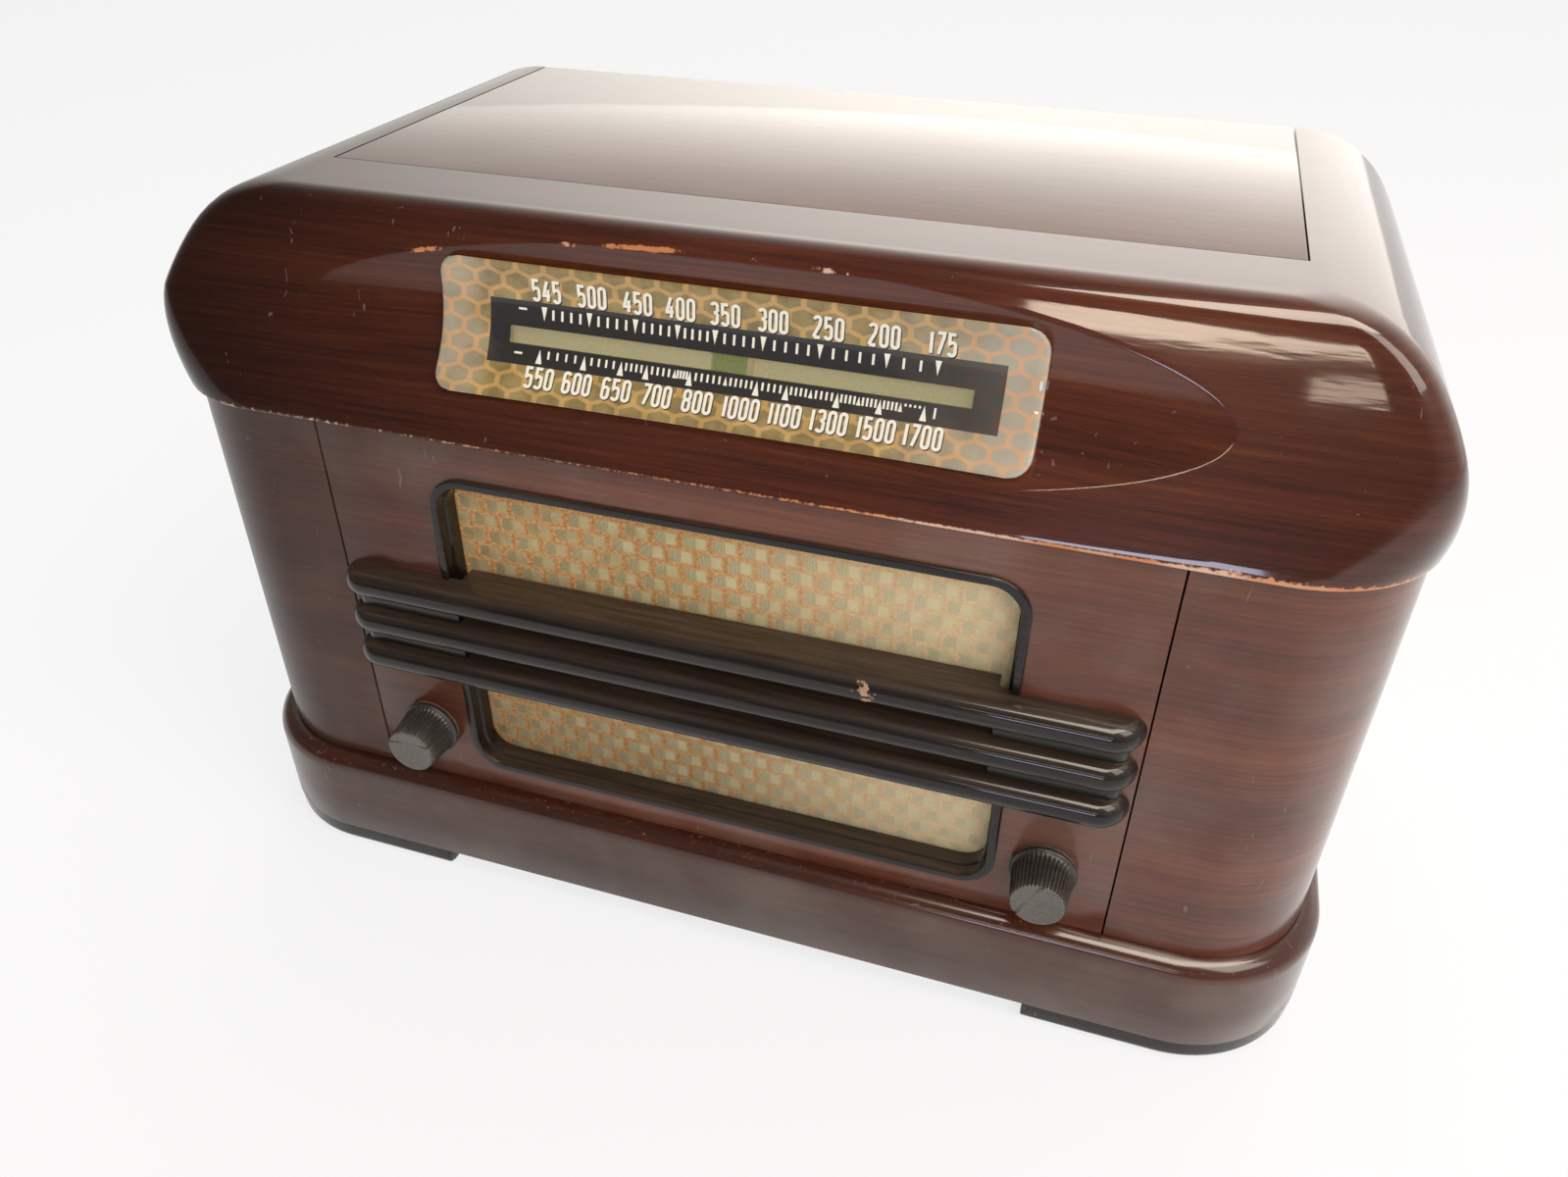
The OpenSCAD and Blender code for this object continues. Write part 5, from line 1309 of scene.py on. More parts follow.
def stroke_outline(points, width, closed=False):
    """Left and right edges of a pen line through points."""
    sides = ([], [])
    count = len(points)
    for i, (x, y) in enumerate(points):
        before = points[(i - 1) % count] if closed or i else points[i]
        after = points[(i + 1) % count] if closed or i < count - 1 else points[i]
        a = Vector((x - before[0], y - before[1]))
        b = Vector((after[0] - x, after[1] - y))
        a = a.normalized() if a.length > 1e-9 else b.normalized()
        b = b.normalized() if b.length > 1e-9 else a
        along = (a + b).normalized() if (a + b).length > 1e-6 else a
        normal = Vector((-along.y, along.x))
        stretch = min(1.6, 1 / max(0.3, normal.dot(Vector((-a.y, a.x)))))
        for side, hand in zip(sides, (0.5, -0.5)):
            side.append((x + normal.x * width * hand * stretch, y + normal.y * width * hand * stretch))
    return sides


def pen_line(bm, points, width, place, low, high, closed=False):
    """A raised line of a width through points, laid by a placing function."""
    rings = []
    for a, b in zip(*stroke_outline(points, width, closed)):
        rings.append([place(*p, lift) for p, lift in ((a, low), (b, low), (b, high), (a, high))])
    if closed:
        rows = [[bm.verts.new(p) for p in ring] for ring in rings]
        grid_faces(bm, rows + [rows[0]], close=True)
    else:
        loft(bm, rings)


# A digit before it is scaled, in millimetres
DIGIT_W = 1.7
DIGIT_H = 5.5


def digit_lines(digit):
    """Centre lines of a digit, as (closed, points)."""
    w, h, r = DIGIT_W, DIGIT_H, DIGIT_W / 2
    top, low = h - r, r
    oval = lambda y0, y1: arc(r, y1, r, 0, 180, 8) + arc(r, y0, r, 180, 360, 8)
    shapes = {
        "0": [(True, oval(low, top))],
        "1": [(False, [(0.35, 0.0), (0.35, h * 0.5), (0.35, h)])],
        "2": [(False, arc(r, top, r, 175, -12, 8) + [(w * 0.86, 3.3), (0.05, 0.55), (0.05, 0.05)]),
              (False, [(0.0, 0.05), (w * 0.6, 0.05), (w, 0.05)])],
        "3": [(False, arc(r, top, r, 165, 0, 8) + [(w, 3.6), (w * 0.72, 2.97), (0.6, 2.95)]),
              (False, [(0.9, 2.95), (w * 0.75, 2.85), (w, 2.3)] + arc(r, low, r, 0, -165, 8))],
        "4": [(False, [(1.15, h), (0.0, 1.6), (0.0, 1.5), (1.0, 1.5), (w + 0.25, 1.5)]),
              (False, [(1.3, 3.3), (1.3, 1.5), (1.3, 0.0)])],
        "5": [(False, [(w, h - 0.05), (0.1, h - 0.05), (0.06, 2.9)]),
              (False, [(0.06, 3.0)] + arc(r, 2.5, r, 150, 0, 7) + arc(r, low, r, 0, -165, 8))],
        "6": [(True, oval(low, 2.3)), (False, [(0.0, 2.2), (0.0, top)] + arc(r, top, r, 180, 15, 8)[1:])],
        "7": [(False, [(0.0, h - 0.05), (w, h - 0.05), (w * 0.9, 4.2), (0.5, 0.0)])],
        "8": [(True, oval(low, 2.15)), (True, oval(3.8, top))],
        "9": [(True, oval(3.2, top)), (False, [(w, 3.4), (w, low)] + arc(r, low, r, 0, -165, 8)[1:])],
    }
    return shapes[digit]


TOP_NUMBERS = [
    ("545", -53.7), ("500", -40.2), ("450", -26.7), ("400", -14.2), ("350", -1.3),
    ("300", 12.3), ("250", 27.7), ("200", 42.9), ("175", 58.5),
]
LOW_NUMBERS = [
    ("550", -54.1), ("600", -42.6), ("650", -30.8), ("700", -18.7), ("800", -6.7),
    ("1000", 6.0), ("1100", 18.6), ("1300", 31.0), ("1500", 44.1), ("1700", 56.8),
]
TOP_MARKS = [-54.5, -41.0, -27.3, -14.9, -4.0, 9.8, 25.8, 44.2, 57.9]
LOW_MARKS = [-55.1, -41.6, -30.5, -22.9, -10.1, 9.3, 17.8, 32.1, 43.9, 55.9]
SMALL_MARKS = [-14.6, 0.3, 24.7, 38.1, 49.5]
# Half width, base and point of each kind of mark. Outlines run anticlockwise,
# so marks that point down start at their right, with a negative half width
MARK_SHAPES = ((TOP_MARKS, -0.85, 7.75, 3.85), (LOW_MARKS, 0.95, -8.2, -4.2), (SMALL_MARKS, 0.6, -6.7, -4.3))
# The last tick, and a short dash before each row
LONE_BARS = ((58.8, 0.3, -7.2, -4.4), (-61.0, 1.2, 6.3, 6.9), (-61.6, 1.2, -6.1, -5.5))
NUMBER_V = 12.3


def scale_shapes(tick):
    """Outlines of all that is printed white beside the numbers, in
    millimetres on the glass, with ticks as wide as tick."""
    shapes = [[(x - half, v), (x + half, v), (x, tip)] for marks, half, v, tip in MARK_SHAPES for x in marks]

    def bar(x, half, low, high):
        shapes.append([(x - half, low), (x + half, low), (x + half, high), (x - half, high)])

    def ticks(a, b, count, half, low, high):
        for i in range(1, count + 1):
            bar(a + (b - a) * i / (count + 1), half, low, high)

    for a, b in zip(TOP_MARKS, TOP_MARKS[1:]):
        ticks(a, b, 2 if a > 44 else 4, tick / 2, 4.35, 7.2)
    anchors = sorted(LOW_MARKS + SMALL_MARKS)
    for a, b in zip(anchors, anchors[1:]):
        low = -5.1 if a > 49.4 else -6.6
        ticks(a, b, 4 if a < -10.2 or a > 9 else 5, tick / 2 - 0.04, low, -4.4)
    for lone in LONE_BARS:
        bar(*lone)
    return shapes


def scale_numbers(height):
    """Pen lines of every numeral, in millimetres on the glass."""
    lines = []
    k = height / DIGIT_H
    for row, middle in ((TOP_NUMBERS, NUMBER_V), (LOW_NUMBERS, -NUMBER_V)):
        for text, centre in row:
            steps = [1.75 if c == "1" else 3.05 for c in text]
            x = centre - sum(steps) / 2
            for c, step in zip(text, steps):
                start = x + (step - (0.7 if c == "1" else DIGIT_W)) / 2
                for closed, points in digit_lines(c):
                    placed = [(start + px, middle + (py - DIGIT_H / 2) * k) for px, py in points]
                    lines.append((closed, placed))
                x += step
    return lines


def round_glass(point, outset, lift):
    """A point of the face's edge, moved outwards and to another lift."""
    x, u = point.x, up_slope(point.y, point.z)
    away = outward(x, u, GLASS_HALF_W - GLASS_CORNER, GLASS_HALF_H - GLASS_CORNER) * outset
    return on_lift(x + away.x, u + away.y, lift)


def cells_within(lines, span):
    """Numbers of the gaps between lines that lie inside a span."""
    return [i for i in range(len(lines) - 1) if span[0] - 0.01 < lines[i] and lines[i + 1] < span[1] + 0.01]


def glass_pane(bm):
    """The bent pane with its open slot, laid out in levels and stations."""
    top, full = GLASS_HALF_H - GLASS_EDGE, GLASS_HALF_W - GLASS_EDGE
    slot_u = [glass_height(v) for v in SLOT_V]
    even = [top * (i / 14 - 1) for i in range(1, 28)]
    near_edge = [hand * (top - d) for hand in (-1, 1) for d in (0.5, 1.2, 2.2, 3.4)]
    levels = merge_sorted(slot_u + [-top, top] + even + near_edge, 0.25)
    stations = merge_sorted(list(SLOT_X) + [-full, full] + [full * (i / 40 - 1) for i in range(1, 80)], 0.4)
    grids = []
    for lift in (GLASS_RAISE, GLASS_SEAT):
        grid = []
        for u in levels:
            reach = glass_reach(u, GLASS_EDGE)
            grid.append([bm.verts.new(on_lift(x * reach / full, u, lift)) for x in stations])
        grids.append(grid)
    hole = {(i, j) for i in cells_within(stations, SLOT_X) for j in cells_within(levels, slot_u)}
    for grid in grids:
        for j in range(len(levels) - 1):
            for i in range(len(stations) - 1):
                if (i, j) not in hole:
                    bm.faces.new((grid[j][i], grid[j][i + 1], grid[j + 1][i + 1], grid[j + 1][i]))
    # Walls of the slot, where a cell of the hole meets the pane
    for i, j in sorted(hole):
        for di, dj, a, b in (
            (-1, 0, (0, 0), (0, 1)), (1, 0, (1, 0), (1, 1)), (0, -1, (0, 0), (1, 0)), (0, 1, (0, 1), (1, 1))
        ):
            if (i + di, j + dj) not in hole:
                near, back = [[grid[j + c[1]][i + c[0]] for c in (a, b)] for grid in grids]
                bm.faces.new((near[0], near[1], back[1], back[0]))
    front, rear = [grid_border(grid) for grid in grids]
    rings = [front]
    for outset, drop in GLASS_ROUND:
        rings.append([bm.verts.new(round_glass(vertex.co, outset, GLASS_RAISE - drop)) for vertex in front])
    grid_faces(bm, rings + [rear], close=True)


def slot_glass(bm):
    """The clear strip that fills the slot, a little below the print."""
    low, high = SLOT_V
    across = [low, (low * 2 + high) / 3, (low + high * 2) / 3, high]
    along = spread(32, *SLOT_X)
    rows = [[bm.verts.new(on_lift(x, glass_height(v), GLASS_RAISE - 0.15)) for x in along] for v in across]
    back = [[bm.verts.new(on_lift(x, glass_height(v), 0.5)) for x in along] for v in SLOT_V]
    grid_faces(bm, rows)
    grid_faces(bm, back)
    grid_faces(bm, [rows[0], back[0]])
    grid_faces(bm, [rows[3], back[1]])
    for end in (0, -1):
        bm.faces.new([row[end] for row in rows] + [back[1][end], back[0][end]])


class RADIO_OT_dial(bpy.types.Operator):
    """Builds the bent dial glass, its clear slot and the printed scale"""

    bl_idname = "radio.dial"
    bl_label = "Dial glass"

    def execute(self, context):
        for name, build, finish, make, node in (
            ("dial_glass_pane", glass_pane, "screen_printed_glass", printed_glass, ["dial_glass"]),
            ("dial_slot_glass", slot_glass, "clear_dial_glass", clear_strip, []),
        ):
            bm = bmesh.new()
            build(bm)
            write_uv(bm, "print", on_print)
            mat = find_material(finish, make)
            finish_mesh(name, bm, mat, "cabinet", angle=40, slot="dial_glass", replaces=node)

        sizes = context.scene.radio_dial
        for name, dx, dv, lift, ink, colour, width in (
            ("scale_print_shadow", 0.28, -0.32, 0.015, "print_shadow_ink", "#2A1D14", 0.95),
            ("scale_print_white", 0.0, 0.0, 0.06, "raised_white_ink", "#E9E6DC", 0.9),
        ):
            bm = bmesh.new()
            place = lambda x, v, h, dx=dx, dv=dv: on_glass(x + dx, v + dv, h)
            for outline in scale_shapes(sizes.mark_w * 1000):
                loft(bm, [[place(x, v, height) for x, v in outline] for height in (-INK_UNDER, lift)])
            for closed, points in scale_numbers(sizes.numeral_h * 1000):
                pen_line(bm, points, width, place, -INK_UNDER, lift, closed)
            mat = find_material(ink, lambda n: plain_stock(n, colour, colour, 0.5, Roughness=0.45))
            finish_mesh(name, bm, mat, "cabinet", angle=30, slot="dial_glass")
        return {"FINISHED"}


# Knobs

KNOB_RIM_R = 10.4
KNOB_RIM_H = 2.2
KNOB_BARREL_R = 9.6
KNOB_FACE_R = 8.4
KNOB_EDGE = 0.6
KNOB_DISH = 0.9
KNOB_MARK_OFF = 3.0
KNOB_MARK_HALF = 0.55
KNOB_MARK_DEEP = 0.56
KNOB_BORE_R = 3.15
KNOB_BORE_H = 11.0
FLUTE_POINTS = 8
FELT_SECTION = ((3.7, -0.05), (9.3, -0.05), (9.75, -0.3), (9.85, -0.6), (9.6, -0.9), (9.2, -1.0), (3.7, -1.0))


def phenolic(name):
    """Moulded brown phenolic. The eye gets a dull waxy brown with grease and
    dust in the flutes and a paler rubbed face."""
    mat, tree, shader = new_material(name, Coat_Weight=0.25, Coat_Roughness=0.3, IOR=1.6)
    place = mm_space(tree)
    grime = noise_field(tree, place, 0.8, 5.0, 0.65)
    tone = colour_ramp(tree, grime, (0.35, "#120C0A"), (0.6, "#1F1813"), (0.78, "#3E332A"))
    rubbed = maths(tree, "MULTIPLY", mask_named(tree, "wear"), grime)
    pale = blend(tree, rubbed, tone, "#757069")
    dull = remap(tree, grime, 0.3, 0.7, 0.34, 0.55)
    bump = bump_map(tree, grime, 0.2, 0.0001)
    feed(shader, Base_Color=pale, Roughness=dull, Normal=bump)
    return mat


def knob_levels():
    """The knob's outside as (radius, height, depth of flute)."""
    bead, foot, top = KNOB_RIM_H / 2, KNOB_RIM_H + 0.3, KNOB_H - KNOB_EDGE
    levels = [(KNOB_BORE_R, 0.0, 0.0), (KNOB_RIM_R - 0.8, 0.0, 0.0)]
    for turn in (-60, -25, 0, 25, 60, 90):
        a = math.radians(turn)
        levels.append((KNOB_RIM_R - bead + bead * math.cos(a), bead + bead * math.sin(a), 0.0))
    levels += [(KNOB_BARREL_R + 0.25, KNOB_RIM_H + 0.02, 0.0), (KNOB_BARREL_R, foot, 0.0)]
    for t, cut in ((0.125, 0.9), (0.25, 1.0), (0.5, 1.0), (0.75, 1.0), (1.0, 1.0)):
        levels.append((KNOB_BARREL_R + (KNOB_FACE_R - KNOB_BARREL_R) * t, foot + (top - foot) * t, cut))
    for turn in (30, 60, 90):
        a = math.radians(turn)
        shift = KNOB_EDGE * math.cos(a) - KNOB_EDGE
        levels.append((KNOB_FACE_R + shift, top + KNOB_EDGE * math.sin(a), 0.8 * (1 - turn / 90)))
    return levels


def knob_mesh(bm, centre, mark, settings):
    """A fluted knob with a dished face, a groove across it and a bore."""
    depth = settings.flute_r * 1000
    count = settings.flutes * FLUTE_POINTS
    turns = circle(count)
    hollows = []
    for i in range(count):
        phase = min(1.0, max(0.0, (i / FLUTE_POINTS % 1 - 0.15) / 0.7))
        hollows.append(max(0.0, math.sin(math.pi * phase)) ** 0.6)
    rings = []
    for r, h, cut in knob_levels():
        radii = [r - depth * cut * 1.15 * hollow for hollow in hollows]
        rings.append([(radius * math.cos(a), radius * math.sin(a), h) for radius, a in zip(radii, turns)])
    face = KNOB_FACE_R - KNOB_EDGE
    dish = (face**2 / KNOB_DISH + KNOB_DISH) / 2
    for i in range(1, 15):
        r = face * (1 - i / 15)
        sag = KNOB_H - KNOB_DISH + dish - math.sqrt(dish * dish - r * r)
        rings.append([(r * math.cos(a), r * math.sin(a), sag) for a in turns])
    turn = math.radians(mark)

    def sunk(p):
        """Cuts the groove across the face."""
        x, y, h = p
        across = -x * math.sin(turn) + y * math.cos(turn) - KNOB_MARK_OFF
        if h > KNOB_H - KNOB_DISH - 0.1 and abs(across) < KNOB_MARK_HALF:
            h = min(h, KNOB_H - KNOB_DISH / 2 - KNOB_MARK_DEEP + abs(across))
        return x, y, h

    rows = []
    for ring in rings:
        places = [(centre + x, -KNOB_BACK - h, KNOB_Z + y) for x, y, h in map(sunk, ring)]
        rows.append([bm.verts.new(p) for p in places])
    grid_faces(bm, rows, close=True)
    middle = bm.verts.new((centre, -KNOB_BACK - KNOB_H + KNOB_DISH, KNOB_Z))
    last = rows[-1]
    for i in range(count):
        bm.faces.new((last[i], last[(i + 1) % count], middle))
    bore = [bm.verts.new((v.co.x, -KNOB_BACK - KNOB_BORE_H, v.co.z)) for v in rows[0]]
    grid_faces(bm, [rows[0], bore], close=True)
    bm.faces.new(bore)


class RADIO_OT_knobs(bpy.types.Operator):
    """Builds the volume and tuning knobs with their felt washers"""

    bl_idname = "radio.knobs"
    bl_label = "Knobs"

    def execute(self, context):
        settings = context.scene.radio_knobs
        mat = find_material("moulded_brown_phenolic", phenolic)
        for name, node, hand, mark, body in (
            ("volume_fluted_knob", "volume_knob", -1, 2.0, "volume_spindle"),
            ("tuning_fluted_knob", "tuning_knob", 1, 64.0, "tuning_control"),
        ):
            bm = bmesh.new()
            knob_mesh(bm, hand * KNOB_X, mark, settings)
            knob = finish_mesh(name, bm, mat, body, angle=50, slot="knob_plastic", replaces=[node])

            def rub(x, y, z, hand=hand):
                off = math.hypot(x - hand * KNOB_X, z - KNOB_Z)
                return 0.9 if y < -15 and off < KNOB_FACE_R else 0.15

            write_masks(knob, rub)
        bm = bmesh.new()
        for hand in (-1, 1):
            fuzz = lambda a, y, hand=hand: 0.08 * noise.noise(Vector((3 * math.cos(a), 3 * math.sin(a), hand + y)))
            turn_ring(bm, FELT_SECTION, (hand * KNOB_X, KNOB_Z), 64, fuzz)
        felt = find_material("pressed_wool_felt", wool_felt)
        finish_mesh("knob_felt_washers", bm, felt, "cabinet", slot="felt", replaces=["knob_felts"])
        return {"FINISHED"}


def wool_felt(name):
    """Pressed wool felt. The eye gets a matt brown with lint in it."""
    return plain_stock(name, "#3F2F23", "#6B5442", 0.5, bump=0.7, Roughness=0.95, Sheen_Weight=0.4)


# Inside

EVEN = (1, 1, 1)
INNER_FINISHES = (
    # nodes, name, low and high tone, grain in mm, stretch, bump, roughness, metal
    (("base_board", "seam_blocks", "back_cleats"), "sawn_poplar", "#6F5231", "#A9834F", 2.2, (0.08, 1, 1), 0.35,
     0.8, 0.0),
    (("baffle_board",), "birch_plywood", "#5B4429", "#8A6A42", 1.6, (0.06, 1, 1), 0.3, 0.82, 0.0),
    (("back_cover",), "pressed_hardboard", "#4A3220", "#765235", 0.8, EVEN, 0.6, 0.88, 0.0),
    (("dial_backplate",), "speckled_tray_paint", "#D6CF9F", "#F2ECC8", 0.55, EVEN, 0.25, 0.5, 0.0),
    (("dial_pointer",), "red_needle_lacquer", "#A02A22", "#BE3A2E", 1.0, EVEN, 0.1, 0.4, 0.0),
    (("dial_screws", "pointer_rail", "tuning_shaft", "volume_shaft", "chassis_bolts", "speaker_screws"),
     "plated_steel_turned", "#9B978E", "#B8B4AA", 0.6, EVEN, 0.15, 0.34, 1.0),
    (("dial_drum", "volume_control"), "plated_steel_pressed", "#8F8B81", "#B0ABA0", 1.4, EVEN, 0.2, 0.42, 1.0),
    (("chassis_pan",), "cadmium_plated_sheet", "#8B8877", "#A8A48F", 3.5, EVEN, 0.25, 0.46, 1.0),
    (("gang_frame", "gang_stators", "gang_rotor"), "bare_aluminium_vanes", "#B4B2AC", "#CBC9C3", 0.8, (0.1, 1, 1),
     0.1, 0.38, 1.0),
    (("input_if_can", "output_if_can", "filter_capacitor"), "drawn_aluminium_can", "#A9A8A4", "#C6C5C0", 0.9,
     (1, 1, 0.08), 0.15, 0.36, 1.0),
    (("pulley_left", "pulley_right", "tuning_bushing", "cover_screws"), "turned_brass", "#A8884A", "#C4A25E", 0.7,
     EVEN, 0.12, 0.33, 1.0),
    (("tube_sockets",), "phenolic_wafer", "#1E1512", "#3A2A22", 0.9, EVEN, 0.3, 0.7, 0.0),
    (("speaker_basket",), "grey_stove_enamel", "#5E5B52", "#77736A", 0.9, EVEN, 0.3, 0.5, 0.0),
    (("speaker_magnet",), "painted_cast_iron", "#3B3A36", "#54524C", 0.6, EVEN, 0.6, 0.62, 0.0),
    (("cord_grommet",), "moulded_black_rubber", "#161412", "#26221F", 0.8, EVEN, 0.2, 0.72, 0.0),
    (("loop_aerial",), "enamelled_aerial_wire", "#5A3B1C", "#94683A", 0.7, (1, 1, 0.2), 0.5, 0.48, 0.0),
    (("output_transformer",), "varnished_iron_stack", "#3E3A33", "#5D574C", 0.5, (0.05, 1, 1), 0.4, 0.55, 0.0),
    (("dial_cord",), "waxed_linen_cord", "#2B221A", "#4A3B2C", 0.35, EVEN, 0.6, 0.6, 0.0),
)
GLASS_FINISHES = (
    (("converter_tube", "if_tube", "detector_tube", "output_tube", "rectifier_tube"), "getter_flashed_tube_glass",
     "#6C726E", "#A9B0AA", 6.0),
    (("dial_lamps",), "small_lamp_glass", "#C9B98A", "#E8DFC0", 2.0),
)


def gettered_glass(name, low, high, size):
    """Blown tube glass. The eye gets a smoky clear wall with a silvery
    flash and a sharp reflection."""
    mat, tree, shader = new_material(name, Roughness=0.06, Metallic=0.35, IOR=1.5)
    place = mm_space(tree, [1 / size] * 3)
    drift = noise_field(tree, place, 0.6, 3.0)
    tone = two_tone(tree, drift, low, high)
    edge = add(tree, "ShaderNodeLayerWeight", {"Blend": 0.35})
    opacity = remap(tree, maths(tree, "ADD", edge.outputs["Facing"], drift), 0.3, 1.1, 0.35, 0.95)
    feed(shader, Base_Color=tone, Alpha=opacity)
    return mat


def ring_span(node):
    """A ring's centre, outer radius, front and back in panel millimetres."""
    low, high = [[1000 * corner[0], 1000 * corner[1] - FRONT_Y, 1000 * corner[2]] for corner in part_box(node)]
    return ((low[0] + high[0]) / 2, (low[2] + high[2]) / 2), (high[0] - low[0]) / 2, low[1], high[1]


def soft_ring(bm, node, waves):
    """A flat ring in a node's place, or a thinner one pressed in waves."""
    centre, outer, front, back = ring_span(node)
    points = [(v.co.x * 1000, v.co.z * 1000) for v in NODES[node].data.vertices]
    inner = min(math.hypot(x - centre[0], z - centre[1]) for x, z in points)
    thick = (back - front) * (0.35 if waves else 1.0)
    face = []
    for t in spread(12, 0.0, 1.0):
        wave = 0.5 + 0.5 * math.cos(2 * math.pi * waves * t)
        face.append((inner + (outer - inner) * t, front + (back - front - thick) * (1 - wave)))
    turn_ring(bm, face + [(r, y + thick) for r, y in reversed(face)], centre, 96)


def speaker_cone(bm):
    """The paper cone, with rings pressed in it, its cap and voice coil."""
    centre, outer, front, back = ring_span("speaker_cone")
    neck, coil, paper = front + 25.2, 12.7, 0.45
    face = []
    for t in spread(40, 0.0, 1.0):
        ripple = 0.18 * math.sin(2 * math.pi * t * 14) * (1 - t)
        face.append((outer - 0.4 + (coil + 1.0 - outer) * t, front + 0.1 + (neck - front) * t**0.92 + ripple))
    cap = [(coil * 0.7, neck - 2.4), (coil * 0.35, neck - 3.6), (0.6, neck - 4.0), (0.6, neck - 3.4)]
    wall = [(coil - 0.6, neck + 0.8), (coil - 0.6, back), (coil - 0.1, back), (coil - 0.1, neck + 0.6)]
    under = [(r, y + paper) for r, y in reversed(face[:-1])]
    turn_ring(bm, face + cap + wall + under, centre, 96)


def dress(nodes, mat):
    """Gives carried-over nodes their material."""
    for obj in [NODES[node] for node in nodes]:
        if not obj.material_slots:
            obj.data.materials.append(mat)
        for held in obj.material_slots:
            held.material = mat


class RADIO_OT_inside(bpy.types.Operator):
    """Finishes the works inside and builds the soft ones among them"""

    bl_idname = "radio.inside"
    bl_label = "Works inside"

    def execute(self, context):
        for nodes, name, low, high, size, stretch, bump, rough, metal in INNER_FINISHES:
            dress(nodes, plain_stock(name, low, high, size, stretch, bump, Roughness=rough, Metallic=metal))
        for nodes, name, low, high, size in GLASS_FINISHES:
            dress(nodes, gettered_glass(name, low, high, size))
        felt = find_material("pressed_wool_felt", wool_felt)
        for name, node, waves in (
            ("speaker_felt_gasket", "speaker_gasket", 0), ("corrugated_cone_edge", "cone_surround", 3)
        ):
            bm = bmesh.new()
            soft_ring(bm, node, waves)
            finish_mesh(name, bm, felt, "cabinet", slot="felt", replaces=[node])
        bm = bmesh.new()
        speaker_cone(bm)
        paper = plain_stock("pressed_cone_paper", "#4E4232", "#6F5E48", 0.7, bump=0.5, Roughness=0.9)
        finish_mesh("pressed_paper_cone", bm, paper, "cone", angle=50, slot="cone_paper", replaces=["speaker_cone"])
        return {"FINISHED"}


# Stage

CAMERA_AT = (0.10722, -0.35863, 0.34709)
CAMERA_TURN = (55.388, -0.445, 17.9)
CAMERA_FOV = 66.303
STAGE_MIDDLE = Vector((0.0, 0.0, 0.12))
FLOOR_REACH = 6.0
FLOOR_Z = -0.0004


class RADIO_OT_camera(bpy.types.Operator):
    """Places the camera where the photograph was taken from"""

    bl_idname = "radio.camera"
    bl_label = "Camera"

    def execute(self, context):
        data = bpy.data.cameras.new("photo_camera")
        data.sensor_fit = "HORIZONTAL"
        data.angle = math.radians(CAMERA_FOV)
        data.clip_start, data.clip_end = 0.01, 50.0
        camera = bpy.data.objects.new("photo_camera", data)
        camera.location = CAMERA_AT
        camera.rotation_euler = [math.radians(a) for a in CAMERA_TURN]
        context.scene.collection.objects.link(camera)
        context.scene.camera = camera
        return {"FINISHED"}


def studio_lamp(name, place, size, power, colour):
    """A rectangular area lamp that faces the radio."""
    data = bpy.data.lights.new(name, "AREA")
    data.shape = "RECTANGLE"
    data.size, data.size_y = size
    data.energy = power
    data.color = linear(colour)[:3]
    lamp = bpy.data.objects.new(name, data)
    lamp.location = place
    lamp.rotation_euler = (STAGE_MIDDLE - Vector(place)).to_track_quat("-Z", "Y").to_euler()
    bpy.context.scene.collection.objects.link(lamp)
    return lamp


def paper_floor(colour):
    """A sheet of matt paper that the eye sees as evenly lit."""
    bm = bmesh.new()
    stations = spread(12, -FLOOR_REACH, FLOOR_REACH)
    grid_faces(bm, [[bm.verts.new((x, y, FLOOR_Z)) for x in stations] for y in stations])
    mesh = bpy.data.meshes.new("floor")
    bm.to_mesh(mesh)
    bm.free()
    floor = bpy.data.objects.new("floor", mesh)
    bpy.context.scene.collection.objects.link(floor)
    mat, tree, shader = new_material("matt_white_paper", Roughness=0.7)
    shader.inputs["Base Color"].default_value = colour
    path = add(tree, "ShaderNodeLightPath")
    mirrored = maths(tree, "MULTIPLY", path.outputs["Is Glossy Ray"], 0.4)
    through = maths(tree, "ADD", path.outputs["Is Transmission Ray"], mirrored)
    eye = maths(tree, "MULTIPLY", path.outputs["Is Camera Ray"], 0.72)
    share = maths(tree, "ADD", eye, through, use_clamp=True)
    paper = add(tree, "ShaderNodeEmission", {"Color": "#FDFDFE", "Strength": 1.05})
    mixed = add(tree, "ShaderNodeMixShader", {0: share, 1: shader.outputs[0], 2: paper})
    tree.links.new(mixed.outputs[0], tree.nodes["Material Output"].inputs[0])
    mesh.materials.append(mat)
    return floor


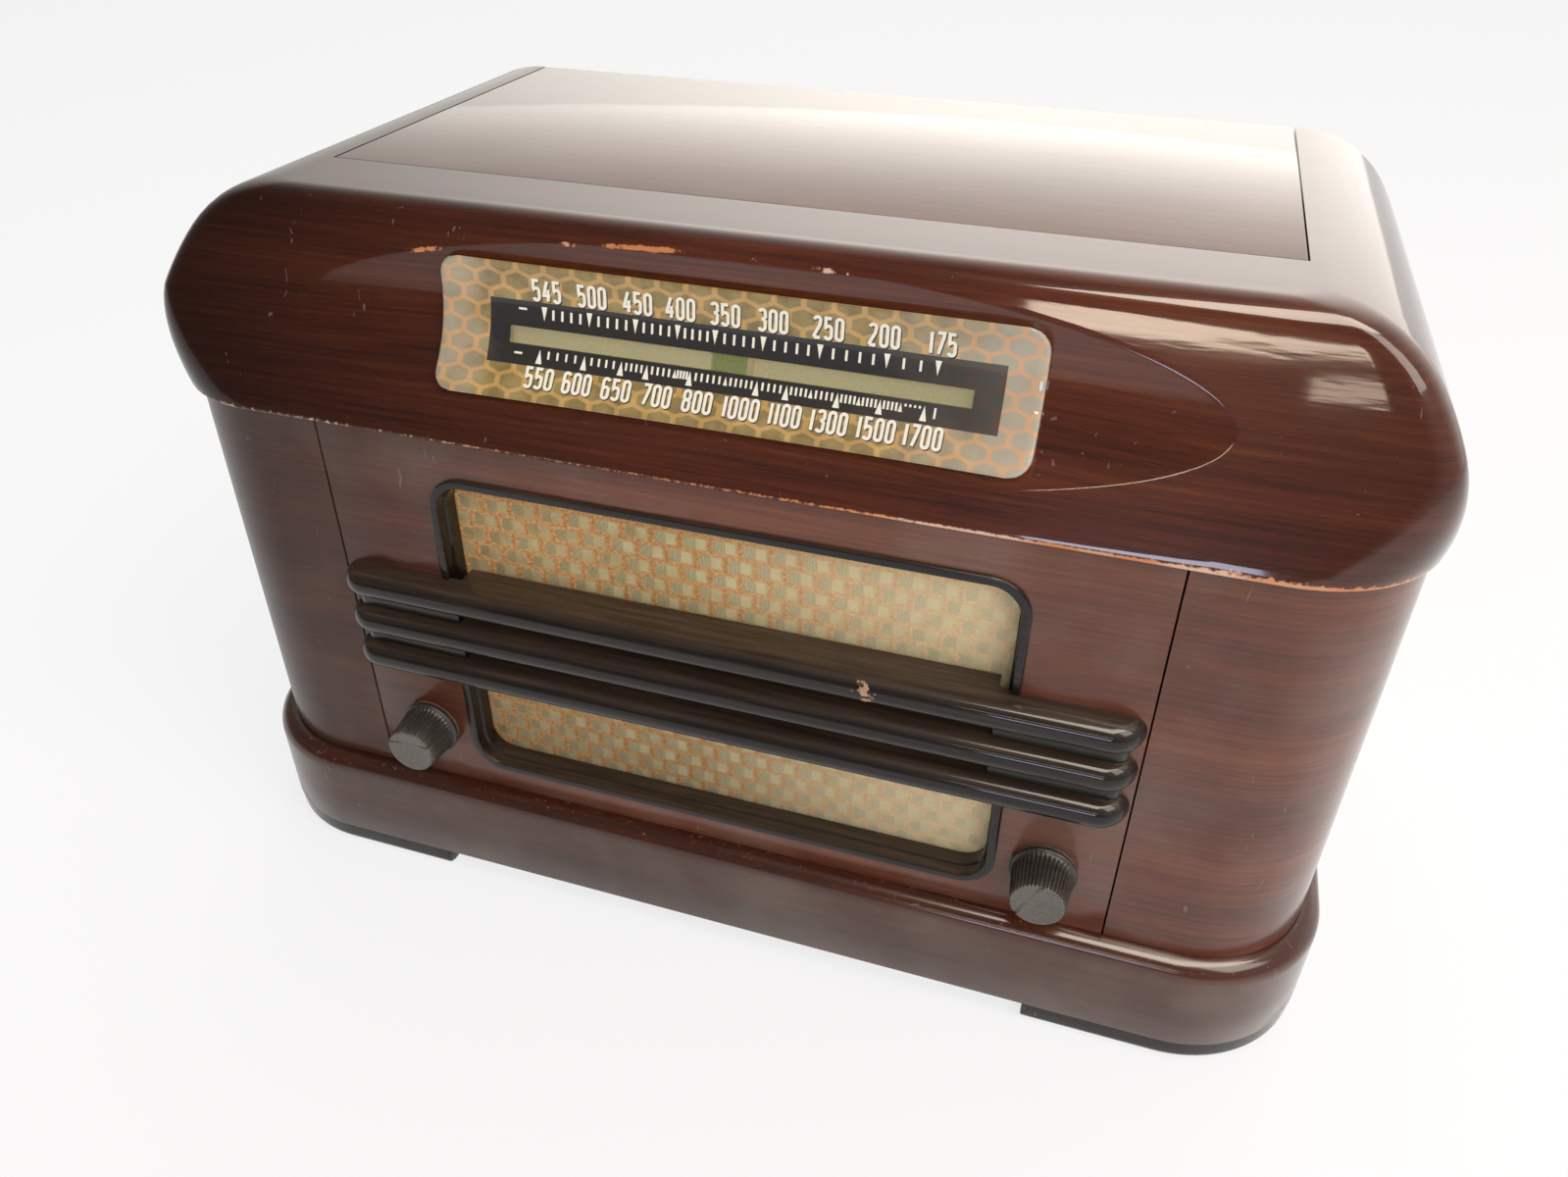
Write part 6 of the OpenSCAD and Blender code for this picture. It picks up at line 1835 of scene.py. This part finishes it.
def studio_world():
    """A bright wall behind and a window to the right, dim to the left and
    behind the camera. The eye itself sees a plain white room."""
    world = bpy.data.worlds.new("studio")
    world.use_nodes = True
    tree = world.node_tree
    tree.nodes.clear()
    direction = add(tree, "ShaderNodeTexCoord").outputs["Generated"]
    x, y, z = add(tree, "ShaderNodeSeparateXYZ", {0: direction}).outputs
    soft = {"interpolation_type": "SMOOTHSTEP"}
    behind = remap(tree, y, -0.1, 0.85, 0.0, 2.1, **soft)
    rightward = remap(tree, x, -0.95, -0.1, 0.1, 1.0, **soft)
    beside = remap(tree, x, 0.1, 0.95, 0.0, 0.5, **soft)
    corner = remap(tree, x, 0.15, 0.6, 1.0, 0.45, **soft)
    wall = maths(tree, "MULTIPLY", behind, maths(tree, "MULTIPLY", rightward, corner))
    above = remap(tree, z, 0.35, 1.0, 1.0, 0.45)
    bright = maths(tree, "MULTIPLY", maths(tree, "ADD", wall, beside), above)
    level = maths(tree, "ADD", bright, 0.2)
    room = add(tree, "ShaderNodeBackground", {"Color": "#FBF6EE", "Strength": level})
    pale = add(tree, "ShaderNodeBackground", {"Color": "#FBFBFC", "Strength": 1.0})
    seen = add(tree, "ShaderNodeLightPath").outputs["Is Camera Ray"]
    add(tree, "ShaderNodeOutputWorld", {0: add(tree, "ShaderNodeMixShader", {0: seen, 1: room, 2: pale})})
    return world


class RADIO_OT_stage(bpy.types.Operator):
    """Builds the pale floor, the world and the studio lamps"""

    bl_idname = "radio.stage"
    bl_label = "Stage"

    def execute(self, context):
        scene, settings = context.scene, context.scene.radio_stage
        scene.view_settings.view_transform = "Standard"
        paper_floor(settings.floor_colour)
        scene.world = studio_world()
        power = settings.key_power
        studio_lamp("key_window", (1.2, -0.5, 1.5), (0.9, 0.9), power, "#FFF6EA")
        studio_lamp("front_fill", (0.8, -1.7, 1.3), (1.4, 0.8), power * 1.5, "#FFF9F0").visible_glossy = False
        # Long windows that only the lacquer shows
        for name, place, size, watts, colour in (
            ("ceiling_window", (0.5, -0.30, 1.6), (1.5, 0.5), 30.0, "#FFF3E2"),
            ("high_window", (0.2, -2.1, 1.07), (0.66, 0.06), 2.0, "#FFEBD2"),
            ("high_window_end", (0.49, -2.1, 0.98), (0.14, 0.03), 0.15, "#FFEBD2"),
            ("sky_window", (0.14, -1.05, 0.28), (0.24, 0.11), 0.9, "#DFE7FF"),
        ):
            studio_lamp(name, place, size, watts, colour).visible_diffuse = False
        return {"FINISHED"}


PIECES = (
    RADIO_OT_camera, RADIO_OT_hood, RADIO_OT_top_panel, RADIO_OT_body, RADIO_OT_base, RADIO_OT_grille,
    RADIO_OT_cloth, RADIO_OT_dial, RADIO_OT_knobs, RADIO_OT_inside, RADIO_OT_stage,
)


class RADIO_PT_panel(bpy.types.Panel):
    """Lists the radio's pieces and their settings"""

    bl_label = "Table radio"
    bl_idname = "RADIO_PT_panel"
    bl_space_type = "VIEW_3D"
    bl_region_type = "UI"
    bl_category = "Radio"

    def draw(self, context):
        for piece in PIECES:
            self.layout.operator(piece.bl_idname)
        for name in SETTINGS:
            settings = getattr(context.scene, name)
            for key in settings.bl_rna.properties.keys():
                if key not in ("rna_type", "name"):
                    self.layout.prop(settings, key)


SETTINGS = {
    "radio_wood": RadioWoodSettings,
    "radio_dial": RadioDialSettings,
    "radio_grille": RadioGrilleSettings,
    "radio_knobs": RadioKnobSettings,
    "radio_stage": RadioStageSettings,
}


def register():
    for name, group in SETTINGS.items():
        bpy.utils.register_class(group)
        setattr(bpy.types.Scene, name, bpy.props.PointerProperty(type=group))
    for piece in PIECES + (RADIO_PT_panel,):
        bpy.utils.register_class(piece)


def unregister():
    for piece in reversed(PIECES + (RADIO_PT_panel,)):
        bpy.utils.unregister_class(piece)
    for name, group in SETTINGS.items():
        delattr(bpy.types.Scene, name)
        bpy.utils.unregister_class(group)


def main():
    register()
    for piece in PIECES:
        area, name = piece.bl_idname.split(".")
        getattr(getattr(bpy.ops, area), name)()


if __name__ == "__main__":
    main()
